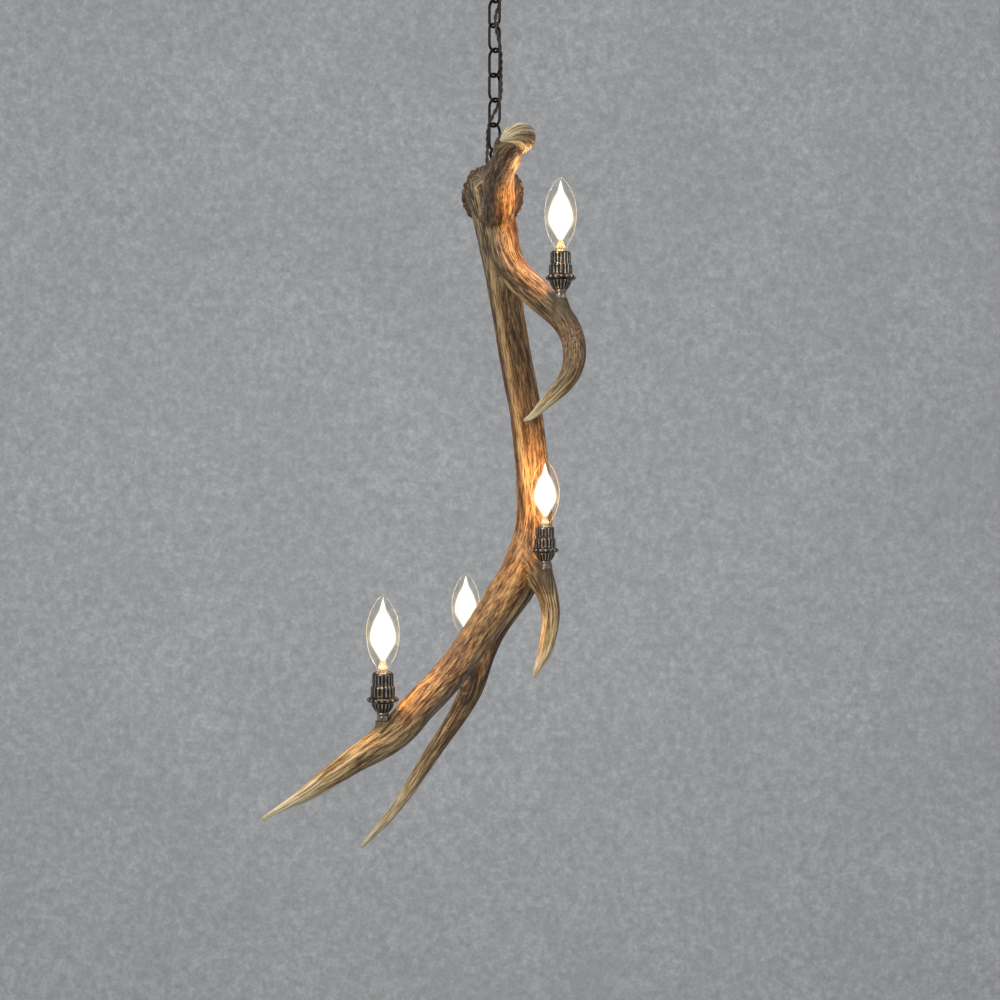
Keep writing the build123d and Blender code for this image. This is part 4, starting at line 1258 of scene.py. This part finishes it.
def dress_antler(seats):
    """The antler's skin with its grooves, rubbed edges, pearls and bosses."""
    skin = even_skin()
    add_bosses(skin, seats)
    places = read_vectors(skin.vertices, "co")
    normals = read_vectors(skin.vertices, "normal")
    grains, shares, values = measure_skin(places)
    putty, burr, near_burr, cool = place_values(places, seats)
    groove = furrows(grains, shares) * (1 - np.minimum(1.0, values["tip"] * 1.25) * 0.85)

    points = [Vector(p) for p in places]
    pearls = np.array([noise.noise(p * PEARLS) + 0.6 * noise.noise(p * PEARL_DETAIL) for p in points])
    swell = np.array([noise.noise(p * SWELLS) for p in points])
    lift = -GROOVE_DEPTH * groove * (1 - putty) - SKIN_INSET + RUBBED_HEIGHT * values["wear_and_highlight"]
    lift += SWELL_HEIGHT * swell * (1 - 0.6 * putty)
    lift += (PEARL_HEIGHT * burr + STRAY_PEARL_HEIGHT * near_burr) * pearls
    places += normals * (lift * MM)[:, None]
    skin.vertices.foreach_set("co", places.ravel())

    values.update(putty=putty, burr=clamp(burr * 1.2), groove=groove, cool=cool, shares=shares)
    values.update({f"grain_{layer}": grains[layer] for layer in range(LAYERS)})
    for name, numbers in values.items():
        add_layer(skin, name, numbers)
    skin.materials.clear()
    skin.materials.append(ANTLER_SKIN)
    skin.shade_smooth()
    skin.update()
    dress(place_object("antler_dressed", skin), "antler", "antler")


# ---- carried-over solids ----
SHOWN_AS_THEY_ARE = {
    ZINC: ["crossbar", "ground_screw", "ceiling_nipple", "locknuts", "socket_nipples"],
    BRIGHT_BRASS: ["screw_shells", "centre_contacts", *(f"bulb_contact_{n}" for n in range(1, BULBS + 1))],
    INSULATION: ["supply_cores", "socket_cores"],
    CONNECTOR: ["wire_connectors"],
    PHENOLIC: ["socket_insulators"],
    BOARD: ["socket_liners"],
}


def finish_solids():
    for material, nodes in SHOWN_AS_THEY_ARE.items():
        for node in nodes:
            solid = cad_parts[node].data
            solid.materials.clear()
            solid.materials.append(material)


# ---- stage, light and camera ----
FLOOR = -2.6
WALL = 3.2
SWEEP = 0.2
SWEEP_STEPS = 12
HALF = 5.5
TARGET = Vector((0, 0, -0.65))
CAMERA_PLACE = (0.0064, -1.673, -0.667)
# name, place, size, power and colour
LIGHTS = [
    ("key", (-1.2, -2.0, 0.9), 1.3, 50.0, (1.0, 0.97, 0.92)),
    ("fill", (1.9, -1.5, 0.1), 1.6, 10.0, (0.95, 0.98, 1.0)),
    ("rim", (0.4, 1.0, 1.1), 1.2, 14.0, (1.0, 0.98, 0.95)),
]


def build_backdrop():
    """A floor that sweeps up into a wall."""
    outline = [(-WALL, FLOOR)]
    for k in range(SWEEP_STEPS + 1):
        angle = pi / 2 * k / SWEEP_STEPS
        outline.append((WALL - SWEEP + SWEEP * sin(angle), FLOOR + SWEEP - SWEEP * cos(angle)))
    outline.append((WALL, WALL))
    shape = Shape()
    shape.grid([[Vector((x, y, z)) for x in (-HALF, HALF)] for y, z in outline], closed_across=False)
    mesh_object("backdrop", shape.vertices, shape.faces, WALL_PAINT)


def light_studio():
    world = bpy.data.worlds.new("studio")
    world.use_nodes = True
    sky = world.node_tree.nodes["Background"]
    sky.inputs["Color"].default_value = (0.93, 0.96, 1.0, 1.0)
    sky.inputs["Strength"].default_value = 0.42
    bpy.context.scene.world = world
    for name, place, size, power, color in LIGHTS:
        area = bpy.data.lights.new(name, "AREA")
        area.energy = power
        area.size = size
        area.color = color
        holder = place_object(name, area)
        holder.location = place
        holder.rotation_euler = (TARGET - Vector(place)).to_track_quat("-Z", "Y").to_euler()


def set_camera():
    """The photograph's view: level, 1.67 m before the chain, with a field of 38 degrees."""
    lens = bpy.data.cameras.new("camera")
    lens.sensor_width = 36.0
    lens.lens = 51.66
    lens.clip_start = 0.05
    lens.clip_end = 50.0
    camera = place_object("camera", lens)
    camera.location = CAMERA_PLACE
    camera.rotation_euler = (radians(90), 0, 0)
    bpy.context.scene.camera = camera
    bpy.context.scene.view_settings.view_transform = "Standard"


# ---- the whole lamp ----
dress_canopy()
dress_ceiling_loop()
dress_collar()
link_middles = [dress_link(number) for number in range(1, LINKS + 1)]
dress_screw_eye()
dress_lead(link_middles)
seats = socket_seats()
dress_sockets(seats)
for number, seat in enumerate(seats, start=1):
    dress_bulb(number, seat + UP * GLASS_BELOW_MOUTH)
dress_antler(seats)
finish_solids()
build_backdrop()
light_studio()
set_camera()
